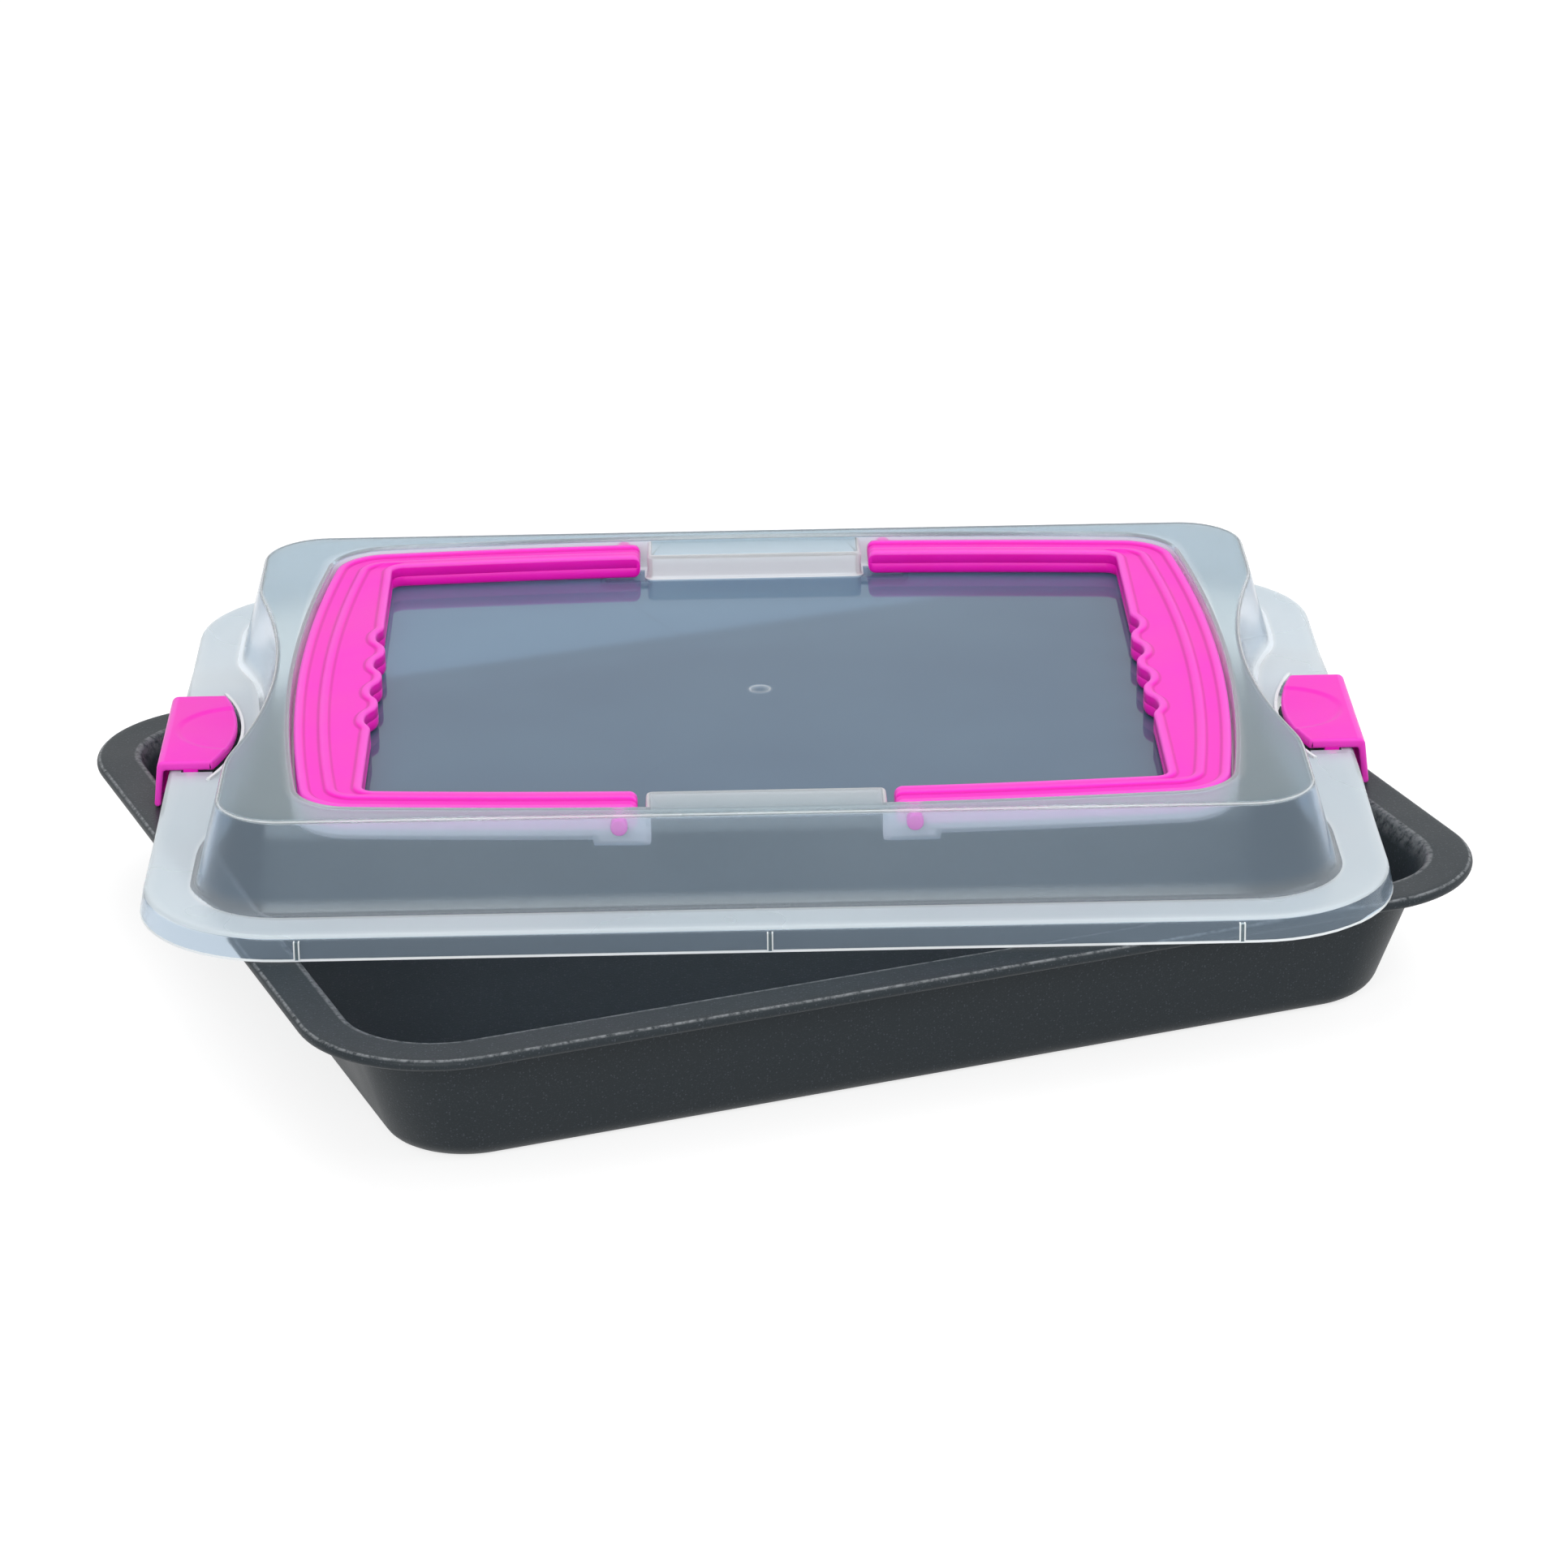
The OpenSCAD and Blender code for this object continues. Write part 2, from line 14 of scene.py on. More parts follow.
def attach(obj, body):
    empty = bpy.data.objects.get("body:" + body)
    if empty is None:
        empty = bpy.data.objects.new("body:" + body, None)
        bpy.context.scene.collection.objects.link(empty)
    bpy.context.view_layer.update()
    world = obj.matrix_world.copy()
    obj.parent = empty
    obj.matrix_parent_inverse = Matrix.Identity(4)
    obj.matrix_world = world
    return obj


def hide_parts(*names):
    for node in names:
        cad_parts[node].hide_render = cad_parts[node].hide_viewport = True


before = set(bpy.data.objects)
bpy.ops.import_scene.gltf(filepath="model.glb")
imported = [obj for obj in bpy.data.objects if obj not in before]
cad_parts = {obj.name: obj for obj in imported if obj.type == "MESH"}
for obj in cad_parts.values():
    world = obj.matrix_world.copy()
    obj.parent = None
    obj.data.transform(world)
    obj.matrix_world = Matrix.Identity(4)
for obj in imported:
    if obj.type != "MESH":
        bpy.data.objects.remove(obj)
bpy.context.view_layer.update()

LOG = logging.getLogger("cake_pan")
MM = 0.001
SHARP_DEG = 38.0

Point = tuple[float, float]
Place = tuple[float, float, float]
Ring = list[Place]
Line = tuple[Ring, float, "Plastic"]

LID_PLACE: Place = (-1.0, 33.0, 45.6)


class Slot(Enum):
    """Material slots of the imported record."""

    COATING = "pan_coating"
    LID = "lid_plastic"
    GRIP = "grip_plastic"


class Plastic(Enum):
    """The lid's finishes, by their place among its materials; three of them are lighter copies that
    paint light.
    """

    FROSTED = 0
    CLEAR = 1
    # Lighter copy that paints light on faces turned up and on highlight strips.
    PAINTED_LIT = 2
    # Near-white copy that paints highlights on edges, lips and rib lines.
    BRIGHT = 3
    # Lighter copy that paints away the shade in the recess.
    LIT_RECESS = 4
    INNER = 5
    WALL = 6


class Side(Enum):
    """The two ends of the lid."""

    LEFT = -1
    RIGHT = 1


class Column(NamedTuple):
    """One upright line of the lid's mesh: its part of a quarter and its share along that part."""

    part: str
    share: float


# ---- small helpers for numbers and meshes


def ease(t: float) -> float:
    """Smooth step from 0 to 1 for t from 0 to 1."""
    t = min(1.0, max(0.0, t))
    return t * t * (3 - 2 * t)


def mix(a: float, b: float, t: float) -> float:
    """Value between a and b at the share t."""
    return a + (b - a) * t


def soft_min(a: float, b: float, k: float) -> float:
    """Smaller of two values, rounded where they meet.

    Args:
        a: First value.
        b: Second value.
        k: Size of the rounding.

    Returns:
        The rounded minimum.
    """
    low, gap = min(a, b), abs(a - b)
    return low - k * math.log1p(math.exp(-gap / k))


def between(p: Place, q: Place, t: float) -> Place:
    """Point between two points at the share t."""
    return (mix(p[0], q[0], t), mix(p[1], q[1], t), mix(p[2], q[2], t))


def arc_steps(start: float, end: float, count: int) -> list[float]:
    """Angles in radians from start to end degrees, both included."""
    return [math.radians(mix(start, end, i / count)) for i in range(count + 1)]


def on_arc(x: float, y: float, radius: float, turn: float) -> Point:
    """Point on a circle round (x, y), at an angle in radians."""
    return (x + radius * math.cos(turn), y + radius * math.sin(turn))


def shifted(place: Place, side: int = 1) -> Matrix:
    """Shift to a place in millimetres, mirrored in X first where side is -1."""
    return Matrix.Translation(Vector(place) * MM) @ Matrix.Scale(side, 4, (1, 0, 0))


def mirrored_loop(quarter: Ring) -> Ring:
    """Closes a quarter from the +X axis to the +Y axis into a full loop.

    Args:
        quarter: Points of the first quadrant, first on the X axis, last on the Y axis.

    Returns:
        The points of the whole loop, counter-clockwise.
    """
    half = quarter + [(-x, y, z) for x, y, z in quarter[-2::-1]]
    return half + [(x, -y, z) for x, y, z in half[-2:0:-1]]


def blended(first: Ring, last: Ring, shares: tuple, finish: "Plastic") -> list[Line]:
    """Rings between two rings at the given shares, with their edge value and finish."""
    return [([between(p, q, share) for p, q in zip(first, last)], 0.0, finish) for share in shares]


def bowed_corner(half_x: float, half_y: float, end: float, side: float, radius: float) -> Point:
    """Centre of the fillet between a bowed end and a bowed side.

    Args:
        half_x: Half of the length, at the end's middle.
        half_y: Half of the width, at the side's middle.
        end: Radius of the end's bow.
        side: Radius of the side's bow.
        radius: Radius of the fillet.

    Returns:
        X and Y of the centre.
    """
    ax, by = half_x - end, half_y - side
    gap = math.hypot(ax, by)
    ux, uy = -ax / gap, by / gap
    along = ((end - radius) ** 2 - (side - radius) ** 2 + gap * gap) / (2 * gap)
    off = math.sqrt((end - radius) ** 2 - along * along)
    return ax + along * ux - off * uy, along * uy + off * ux


class Shape:
    """A mesh that grows from rings of points in millimetres."""

    def __init__(self, name: str) -> None:
        """Starts an empty mesh with an edge attribute for its painted highlight and painted shade
        lines.
        """
        self.name = name
        self.bm = bmesh.new()
        self.edge = self.bm.verts.layers.float.new("edge")

    def ring(self, points: Ring, edge: float | list[float] = 0.0) -> list[bmesh.types.BMVert]:
        """Adds the vertices of one ring.

        Args:
            points: Points in millimetres.
            edge: Value of the edge attribute on them, or a list with each one's value.

        Returns:
            The new vertices.
        """
        values = edge if isinstance(edge, list) else [edge] * len(points)
        verts = [self.bm.verts.new((x * MM, y * MM, z * MM)) for x, y, z in points]
        for vert, value in zip(verts, values):
            vert[self.edge] = value
        return verts

    def strip(self, low: list, high: list, material: int = 0) -> None:
        """Joins two loops of equal length with quads of one material index."""
        for i, vert in enumerate(low):
            j = (i + 1) % len(low)
            face = self.bm.faces.new((vert, low[j], high[j], high[i]))
            face.material_index = material

    def loft(self, rings: list[list]) -> None:
        """Joins each loop of a list with the next one."""
        for low, high in zip(rings, rings[1:]):
            self.strip(low, high)

    def fan(self, ring: list, material: int = 0) -> None:
        """Closes a ring with triangles to a new vertex in its middle."""
        middle = sum((v.co for v in ring), Vector()) / len(ring)
        hub = self.bm.verts.new(middle)
        for i, vert in enumerate(ring):
            face = self.bm.faces.new((vert, ring[(i + 1) % len(ring)], hub))
            face.material_index = material

    def cap(self, ring: list) -> None:
        """Closes a ring with one flat face."""
        self.bm.faces.new(ring)

    def tube(self, axis: Place, start: Place, radius: float, length: float, round_end: float,
             count: int = 40) -> None:
        """Adds a closed round pin with rounded ends.

        Args:
            axis: Unit direction of the pin.
            start: Middle of its first end, in millimetres.
            radius: Radius of the pin.
            length: Length of the pin.
            round_end: Radius of the rounding at both ends.
            count: Number of sides.
        """
        along = Vector(axis)
        side = along.orthogonal().normalized()
        up = along.cross(side)
        base = Vector(start)
        profile = [on_arc(round_end, radius - round_end, round_end, math.pi - a)
                   for a in arc_steps(0, 90, 4)]
        profile += [(length - d, r) for d, r in reversed(profile)]
        turns = [2 * math.pi * k / count for k in range(count)]
        spokes = [side * math.cos(turn) + up * math.sin(turn) for turn in turns]
        rings = [self.ring([tuple(base + along * dist + spoke * rad) for spoke in spokes])
                 for dist, rad in profile]
        self.loft(rings)
        self.fan(rings[0])
        self.fan(rings[-1])

    def prism(self, outline: list[Point], low: float, high: float) -> None:
        """Adds an upright prism over an outline."""
        bottom = self.ring([(x, y, low) for x, y in outline])
        top = self.ring([(x, y, high) for x, y in outline])
        self.strip(bottom, top)
        self.cap(bottom)
        self.cap(top)

    def block(self, low: Place, high: Place, rounding: float) -> None:
        """Adds a box with rounded edges.

        Args:
            low: Lowest corner in millimetres.
            high: Highest corner.
            rounding: Radius of its edges.
        """
        size = [b - a for a, b in zip(low, high)]
        middle = [(a + b) / 2 for a, b in zip(low, high)]
        made = bmesh.ops.create_cube(self.bm, size=1.0)["verts"]
        for vert in made:
            vert.co = Vector([(c + v * s) * MM for c, v, s in zip(middle, vert.co, size)])
        edges = dict.fromkeys(edge for vert in made for edge in vert.link_edges)
        if rounding > 0:
            bmesh.ops.bevel(self.bm, geom=list(edges), offset=rounding * MM, segments=3,
                            profile=0.5, affect="EDGES")

    def finish(self, place: Matrix | None = None, sharp: float = SHARP_DEG) -> bpy.types.Object:
        """Cleans the mesh and turns it into an object.

        Args:
            place: Turn and shift of the mesh, in metres.
            sharp: Angle in degrees from which an edge stays sharp.

        Returns:
            The new object at the origin.
        """
        bm = self.bm
        bmesh.ops.remove_doubles(bm, verts=bm.verts, dist=2e-6)
        bmesh.ops.dissolve_degenerate(bm, edges=bm.edges, dist=1e-7)
        if place is not None:
            bmesh.ops.transform(bm, matrix=place, verts=bm.verts)
        bmesh.ops.recalc_face_normals(bm, faces=bm.faces)
        mark_sharp(bm, sharp)
        mesh = bpy.data.meshes.new(self.name)
        bm.to_mesh(mesh)
        bm.free()
        obj = bpy.data.objects.new(self.name, mesh)
        bpy.context.scene.collection.objects.link(obj)
        return obj


def mark_sharp(bm: bmesh.types.BMesh, sharp: float) -> None:
    """Shades a mesh smooth apart from edges that turn by more than the sharp angle in degrees."""
    limit = math.radians(sharp)
    for face in bm.faces:
        face.smooth = True
    for edge in bm.edges:
        if len(edge.link_faces) == 2:
            edge.smooth = edge.calc_face_angle(0.0) < limit


def apply_modifiers(obj: bpy.types.Object) -> None:
    """Turns an object's modifiers into its plain mesh."""
    graph = bpy.context.evaluated_depsgraph_get()
    mesh = bpy.data.meshes.new_from_object(obj.evaluated_get(graph))
    obj.modifiers.clear()
    old = obj.data
    obj.data = mesh
    mesh.name = old.name
    bpy.data.meshes.remove(old)


def cut_or_join(obj: bpy.types.Object, tool: bpy.types.Object, operation: str) -> None:
    """Applies one solid to another and removes the tool.

    Args:
        obj: The solid that is changed.
        tool: The solid that is cut away or added.
        operation: DIFFERENCE or UNION.
    """
    modifier = obj.modifiers.new("solid", "BOOLEAN")
    modifier.operation = operation
    modifier.solver = "EXACT"
    modifier.material_mode = "TRANSFER"
    modifier.object = tool
    apply_modifiers(obj)
    bpy.data.objects.remove(tool)


def dress(obj: bpy.types.Object, *materials: bpy.types.Material) -> None:
    """Gives an object its materials in order."""
    for material in materials:
        obj.data.materials.append(material)


def hand_over(obj: bpy.types.Object, body: str, node: str) -> None:
    """Ties a finished piece to the frame.

    Args:
        obj: The piece.
        body: Body that it rides on.
        node: Solid that it replaces.
    """
    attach(obj, body)
    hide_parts(node)
    LOG.info("%s: %d faces", node, len(obj.data.polygons))


# ---- finishes


class Graph:
    """A node tree with short ways to add and join nodes."""

    def __init__(self, tree: bpy.types.NodeTree) -> None:
        """Keeps the tree that nodes are added to."""
        self.tree = tree

    def node(self, kind: str, inputs: dict | None = None, **settings: object) -> bpy.types.Node:
        """Adds a node.

        Args:
            kind: Node type.
            inputs: Values or sockets for its inputs, by name or number.
            **settings: Properties of the node.

        Returns:
            The new node.
        """
        made = self.tree.nodes.new(kind)
        for key, value in settings.items():
            setattr(made, key, value)
        for key, value in (inputs or {}).items():
            self.feed(made.inputs[key], value)
        return made

    def feed(self, socket: bpy.types.NodeSocket, value: object) -> None:
        """Links a socket to another one, or sets its value."""
        if isinstance(value, bpy.types.NodeSocket):
            self.tree.links.new(value, socket)
        else:
            socket.default_value = value

    def math(self, operation: str, *values: object, clamp: bool = False) -> bpy.types.NodeSocket:
        """Adds a math node and returns its output."""
        return self.node("ShaderNodeMath", dict(enumerate(values)), operation=operation,
                         use_clamp=clamp).outputs[0]

    def times(self, first: object, second: object, clamp: bool = False) -> bpy.types.NodeSocket:
        """Multiplies two values and returns the result."""
        return self.math("MULTIPLY", first, second, clamp=clamp)

    def range(self, value: object, low: float, high: float, to_low: float = 0.0,
              to_high: float = 1.0) -> bpy.types.NodeSocket:
        """Maps a value from one range to another and returns the result."""
        inputs = {0: value, 1: low, 2: high, 3: to_low, 4: to_high}
        return self.node("ShaderNodeMapRange", inputs).outputs[0]

    def blend(self, share: object, first: object, second: object) -> bpy.types.NodeSocket:
        """Mixes two colours and returns the result."""
        made = self.node("ShaderNodeMix", data_type="RGBA")
        for number, value in ((0, share), (6, first), (7, second)):
            self.feed(made.inputs[number], value)
        return made.outputs[2]

    def noise(self, where: object, scale: float, detail: float = 2.0, rough: float = 0.5,
              stretch: Place | None = None) -> bpy.types.NodeSocket:
        """Adds a noise texture and returns its value.

        Args:
            where: Socket with the coordinates.
            scale: Scale of the noise.
            detail: Number of finer layers.
            rough: Share of the finer layers.
            stretch: Factors on the coordinates, for streaks.

        Returns:
            The noise from 0 to 1.
        """
        if stretch is not None:
            where = self.node("ShaderNodeMapping", {"Vector": where, "Scale": stretch}).outputs[0]
        return self.node("ShaderNodeTexNoise", {"Vector": where, "Scale": scale, "Detail": detail,
                                                "Roughness": rough}).outputs[0]


def rgba(red: float, green: float, blue: float) -> tuple[float, float, float, float]:
    """Opaque linear colour."""
    return (red, green, blue, 1.0)


def add_inputs(tree: bpy.types.NodeTree, inputs: dict[str, tuple[str, object]]) -> None:
    """Gives a group its named inputs, each with its kind and default."""
    for label, (kind, value) in inputs.items():
        socket = tree.interface.new_socket(label, in_out="INPUT", socket_type=kind)
        if value is not None:
            socket.default_value = value


def new_group(name: str, inputs: dict[str, tuple[str, object]], outputs: dict[str, str]) -> tuple:
    """Starts a shader node group.

    Args:
        name: Name of the group.
        inputs: Kind and default of each input, by name.
        outputs: Kind of each output, by name.

    Returns:
        The group's tree, its graph, its input sockets and its output sockets.
    """
    tree = bpy.data.node_groups.new(name, "ShaderNodeTree")
    add_inputs(tree, inputs)
    for label, kind in outputs.items():
        tree.interface.new_socket(label, in_out="OUTPUT", socket_type=kind)
    graph = Graph(tree)
    return (tree, graph, graph.node("NodeGroupInput").outputs,
            graph.node("NodeGroupOutput").inputs)


def grain_group() -> bpy.types.NodeTree:
    """Builds the group for the fine grain of a moulded or coated surface."""
    tree, graph, entry, leave = new_group(
        "surface grain",
        {"Vector": ("NodeSocketVector", None), "Grain": ("NodeSocketFloat", 900.0),
         "Waves": ("NodeSocketFloat", 25.0), "Wave Share": ("NodeSocketFloat", 0.3)},
        {"Height": "NodeSocketFloat", "Cloud": "NodeSocketFloat"})
    fine, broad = (
        graph.node("ShaderNodeTexNoise", {"Vector": entry["Vector"], "Scale": entry[scale],
                                          "Detail": detail}).outputs[0]
        for scale, detail in (("Grain", 3.0), ("Waves", 2.0)))
    height = graph.math("ADD", fine, graph.times(broad, entry["Wave Share"]))
    graph.feed(leave["Height"], height)
    graph.feed(leave["Cloud"], broad)
    return tree


def fleck_group() -> bpy.types.NodeTree:
    """Builds the group for small scattered flecks or specks."""
    tree, graph, entry, leave = new_group(
        "flecks",
        {"Vector": ("NodeSocketVector", None), "Scale": ("NodeSocketFloat", 700.0),
         "Size": ("NodeSocketFloat", 0.25), "Share": ("NodeSocketFloat", 0.5)},
        {"Mask": "NodeSocketFloat"})
    cells = graph.node("ShaderNodeTexVoronoi", {"Vector": entry["Vector"], "Scale": entry["Scale"]})
    near = graph.math("LESS_THAN", cells.outputs["Distance"], entry["Size"])
    split = graph.node("ShaderNodeSeparateColor", {0: cells.outputs["Color"]})
    chosen = graph.math("LESS_THAN", split.outputs[0], entry["Share"])
    graph.feed(leave["Mask"], graph.times(near, chosen))
    return tree


def scratch_group() -> bpy.types.NodeTree:
    """Builds the group for faint hairline scratches that run in two directions."""
    tree, graph, entry, leave = new_group(
        "hairlines",
        {"Vector": ("NodeSocketVector", None), "Amount": ("NodeSocketFloat", 0.5)},
        {"Mask": "NodeSocketFloat"})
    masks = []
    for turn, stretch in ((0.5, (9.0, 420.0, 420.0)), (-0.9, (14.0, 520.0, 520.0))):
        turned = graph.node("ShaderNodeMapping", {"Vector": entry["Vector"],
                                                  "Rotation": (0.0, 0.0, turn)}).outputs[0]
        masks.append(graph.range(graph.noise(turned, 1.0, 2.0, 0.4, stretch), 0.76, 0.82))
    both = graph.math("MAXIMUM", *masks)
    patches = graph.range(graph.noise(entry["Vector"], 18.0), 0.52, 0.68)
    graph.feed(leave["Mask"], graph.times(graph.times(both, patches), entry["Amount"]))
    return tree


@dataclass(frozen=True)
class SharedEffects:
    """Node groups that several finishes use."""

    grain: bpy.types.NodeTree
    flecks: bpy.types.NodeTree
    hairlines: bpy.types.NodeTree

    @classmethod
    def build(cls) -> "SharedEffects":
        """Makes every shared group once."""
        return cls(grain_group(), fleck_group(), scratch_group())


class Finish:
    """A material under construction: its graph, shader, coordinates and grain."""

    def __init__(self, name: str, shared: SharedEffects, **grain: float) -> None:
        """Starts a material with a Principled shader and the shared grain."""
        self.material = bpy.data.materials.new(name)
        self.material.use_nodes = True
        self.graph = Graph(self.material.node_tree)
        self.shader = self.material.node_tree.nodes["Principled BSDF"]
        self.where = self.graph.node("ShaderNodeTexCoord").outputs["Object"]
        self.edge = self.graph.node("ShaderNodeAttribute", attribute_name="edge").outputs["Fac"]
        self.height, self.cloud = self.group(shared.grain, **grain)

    def group(self, tree: bpy.types.NodeTree, **inputs: float) -> list[bpy.types.NodeSocket]:
        """Places a shared group on the object's own coordinates and returns its outputs."""
        values = {key.replace("_", " "): value for key, value in inputs.items()}
        return list(self.graph.node("ShaderNodeGroup", {"Vector": self.where, **values},
                                    node_tree=tree).outputs)

    def on_edge(self, share: float) -> bpy.types.NodeSocket:
        """Edge attribute times a share, clamped."""
        return self.graph.times(self.edge, share, clamp=True)

    def uneven(self, low: float, high: float) -> bpy.types.NodeSocket:
        """Value that drifts from low to high with the grain's clouds."""
        return self.graph.range(self.cloud, 0.3, 0.7, low, high)

    def set(self, label: str, value: object) -> None:
        """Sets or links one input of the shader."""
        self.graph.feed(self.shader.inputs[label], value)

    def bump(self, strength: float, distance: float) -> None:
        """Links the grain's height to the shader's normal."""
        made = self.graph.node("ShaderNodeBump", {"Strength": strength, "Distance": distance,
                                                  "Height": self.height})
        self.set("Normal", made.outputs[0])


@dataclass(frozen=True)
class CoatingFinish:
    """Dark non-stick coating with fine pale flecks and a painted highlight, broken into dashes,
    along the bead crest.
    """

    name: str = "dark coating"
    base: tuple = rgba(0.020, 0.027, 0.032)
    cloud: tuple = rgba(0.026, 0.034, 0.040)
    fleck: tuple = rgba(0.08, 0.09, 0.11)
    # Colour of the painted highlight along the bead crest and the rim's inner lip.
    crest: tuple = rgba(0.34, 0.36, 0.38)
    roughness: float = 0.44
    fleck_scale: float = 1100.0

    def build(self, shared: SharedEffects) -> bpy.types.Material:
        """Makes the material."""
        done = Finish(self.name, shared, Grain=1500.0, Waves=22.0, Wave_Share=0.2)
        graph = done.graph
        large, = done.group(shared.flecks, Scale=self.fleck_scale, Size=0.32, Share=0.22)
        small, = done.group(shared.flecks, Scale=self.fleck_scale * 1.9, Size=0.36, Share=0.3)
        lines, = done.group(shared.hairlines, Amount=0.5)
        colour = graph.blend(done.cloud, self.base, self.cloud)
        mask = graph.math("MAXIMUM", large, graph.times(small, 0.6))
        colour = graph.blend(graph.times(mask, 0.5), colour, self.fleck)
        # Painted highlight: the crest colour goes where the edge attribute is set, broken into
        # dashes by noise.
        broken = graph.range(graph.noise(done.where, 420.0, 3.0, 0.7), 0.34, 0.58)
        crest_highlight = graph.times(done.edge, broken, clamp=True)
        done.set("Base Color", graph.blend(crest_highlight, colour, self.crest))
        rough = done.uneven(self.roughness - 0.05, self.roughness + 0.06)
        rough = graph.math("SUBTRACT", rough, graph.times(lines, 0.12))
        rough = graph.math("SUBTRACT", rough, graph.times(crest_highlight, 0.15), clamp=True)
        done.set("Roughness", rough)
        done.set("Specular IOR Level", 0.2)
        done.bump(0.3, 0.0002)
        return done.material


@dataclass(frozen=True)
class GripFinish:
    """Bright pink satin plastic, with painted highlights on its ridges and painted shade in its
    creases.
    """

    name: str = "pink plastic"
    base: tuple = rgba(1.0, 0.012, 0.60)
    deep: tuple = rgba(0.98, 0.008, 0.56)
    # Colour of the painted highlight on the ridge edges.
    pale: tuple = rgba(1.0, 0.13, 0.74)
    # Colour of the painted shade in the creases.
    painted_crease_shade: tuple = rgba(0.62, 0.0, 0.30)
    roughness: float = 0.36

    def build(self, shared: SharedEffects) -> bpy.types.Material:
        """Makes the material."""
        done = Finish(self.name, shared, Grain=1300.0, Waves=30.0, Wave_Share=0.25)
        graph = done.graph
        lines, = done.group(shared.hairlines, Amount=0.5)
        colour = graph.blend(graph.range(done.cloud, 0.35, 0.65), self.deep, self.base)
        # Painted highlight where the edge value is positive, painted shade where it is negative.
        colour = graph.blend(done.on_edge(0.7), colour, self.pale)
        colour = graph.blend(done.on_edge(-0.7), colour, self.painted_crease_shade)
        done.set("Base Color", colour)
        rough = done.uneven(self.roughness - 0.04, self.roughness + 0.05)
        done.set("Roughness", graph.math("ADD", rough, graph.times(lines, 0.1)))
        done.set("Subsurface Weight", 0.25)
        done.set("Subsurface Radius", (1.0, 0.25, 0.7))
        done.set("Subsurface Scale", 0.0015)
        done.set("Specular IOR Level", 0.22)
        done.bump(0.12, 0.00015)
        return done.material


@dataclass(frozen=True)
class LidFinish:
    """Translucent plastic of the lid, frosted or nearly clear."""

    name: str
    base: tuple
    cloud: tuple
    roughness: float
    transmission: float
    passes: float
    grain: float = 0.02
    tint: tuple = rgba(0.84, 0.94, 0.98)
    # Colour of the painted highlight that the edge attribute puts on fillets and edges.
    edge: tuple = rgba(0.92, 0.96, 0.98)
    ior: float = 1.33

    def build(self, shared: SharedEffects) -> bpy.types.Material:
        """Makes the material."""
        done = Finish(self.name, shared, Grain=1100.0, Waves=14.0, Wave_Share=0.5)
        graph = done.graph
        colour = graph.blend(graph.range(done.cloud, 0.3, 0.7), self.base, self.cloud)
        # Painted highlight on the edges marked by the edge attribute.
        done.set("Base Color", graph.blend(done.on_edge(0.8), colour, self.edge))
        done.set("Roughness", done.uneven(self.roughness * 0.9, self.roughness * 1.12))
        done.set("Transmission Weight", self.transmission)
        done.set("IOR", self.ior)
        done.set("Specular Tint", self.tint)
        path = graph.node("ShaderNodeLightPath").outputs
        soft = graph.math("MAXIMUM", path["Is Shadow Ray"], path["Is Diffuse Ray"])
        done.set("Alpha", graph.range(soft, 0.0, 1.0, 1.0, 1.0 - self.passes))
        done.bump(self.grain, 0.0002)
        return done.material


WARM = rgba(1.0, 0.95, 1.0)
LID_FINISHES = {
    Plastic.FROSTED: LidFinish("frosted plastic", rgba(0.36, 0.49, 0.56), rgba(0.41, 0.54, 0.60),
                               roughness=0.19, transmission=0.73, passes=0.92),
    Plastic.CLEAR: LidFinish("clear plastic", rgba(0.125, 0.225, 0.345), rgba(0.145, 0.255, 0.375),
                             roughness=0.07, transmission=0.58, passes=0.92, grain=0.0, tint=WARM),
    # Lighter copy of the frosted plastic: painted light on faces turned up and on highlight strips.
    Plastic.PAINTED_LIT: LidFinish("painted lit plastic", rgba(0.68, 0.77, 0.83), rgba(0.73, 0.81, 0.86),
                              roughness=0.28, transmission=0.42, passes=0.7),
    # Near-white, nearly opaque copy: painted highlights on edges, lips and rib lines.
    Plastic.BRIGHT: LidFinish("painted glint plastic", rgba(0.92, 0.97, 1.0), rgba(0.95, 0.99, 1.0),
                              roughness=0.25, transmission=0.08, passes=0.3, grain=0.0),
    # Lighter copy on the recess walls and bosses: painted light that lifts their shade.
    Plastic.LIT_RECESS: LidFinish("painted lit recess plastic", rgba(0.86, 0.85, 0.87), rgba(0.90, 0.88, 0.90),
                              roughness=0.20, transmission=0.60, passes=0.92),
    Plastic.INNER: LidFinish("inner plastic", rgba(0.93, 0.96, 0.98), rgba(0.95, 0.97, 0.99),
                             roughness=0.14, transmission=0.95, passes=0.92, grain=0.0),
    Plastic.WALL: LidFinish("wall plastic", rgba(0.44, 0.58, 0.74), rgba(0.48, 0.62, 0.78),
                            roughness=0.15, transmission=0.82, passes=0.95)}


# ---- pan


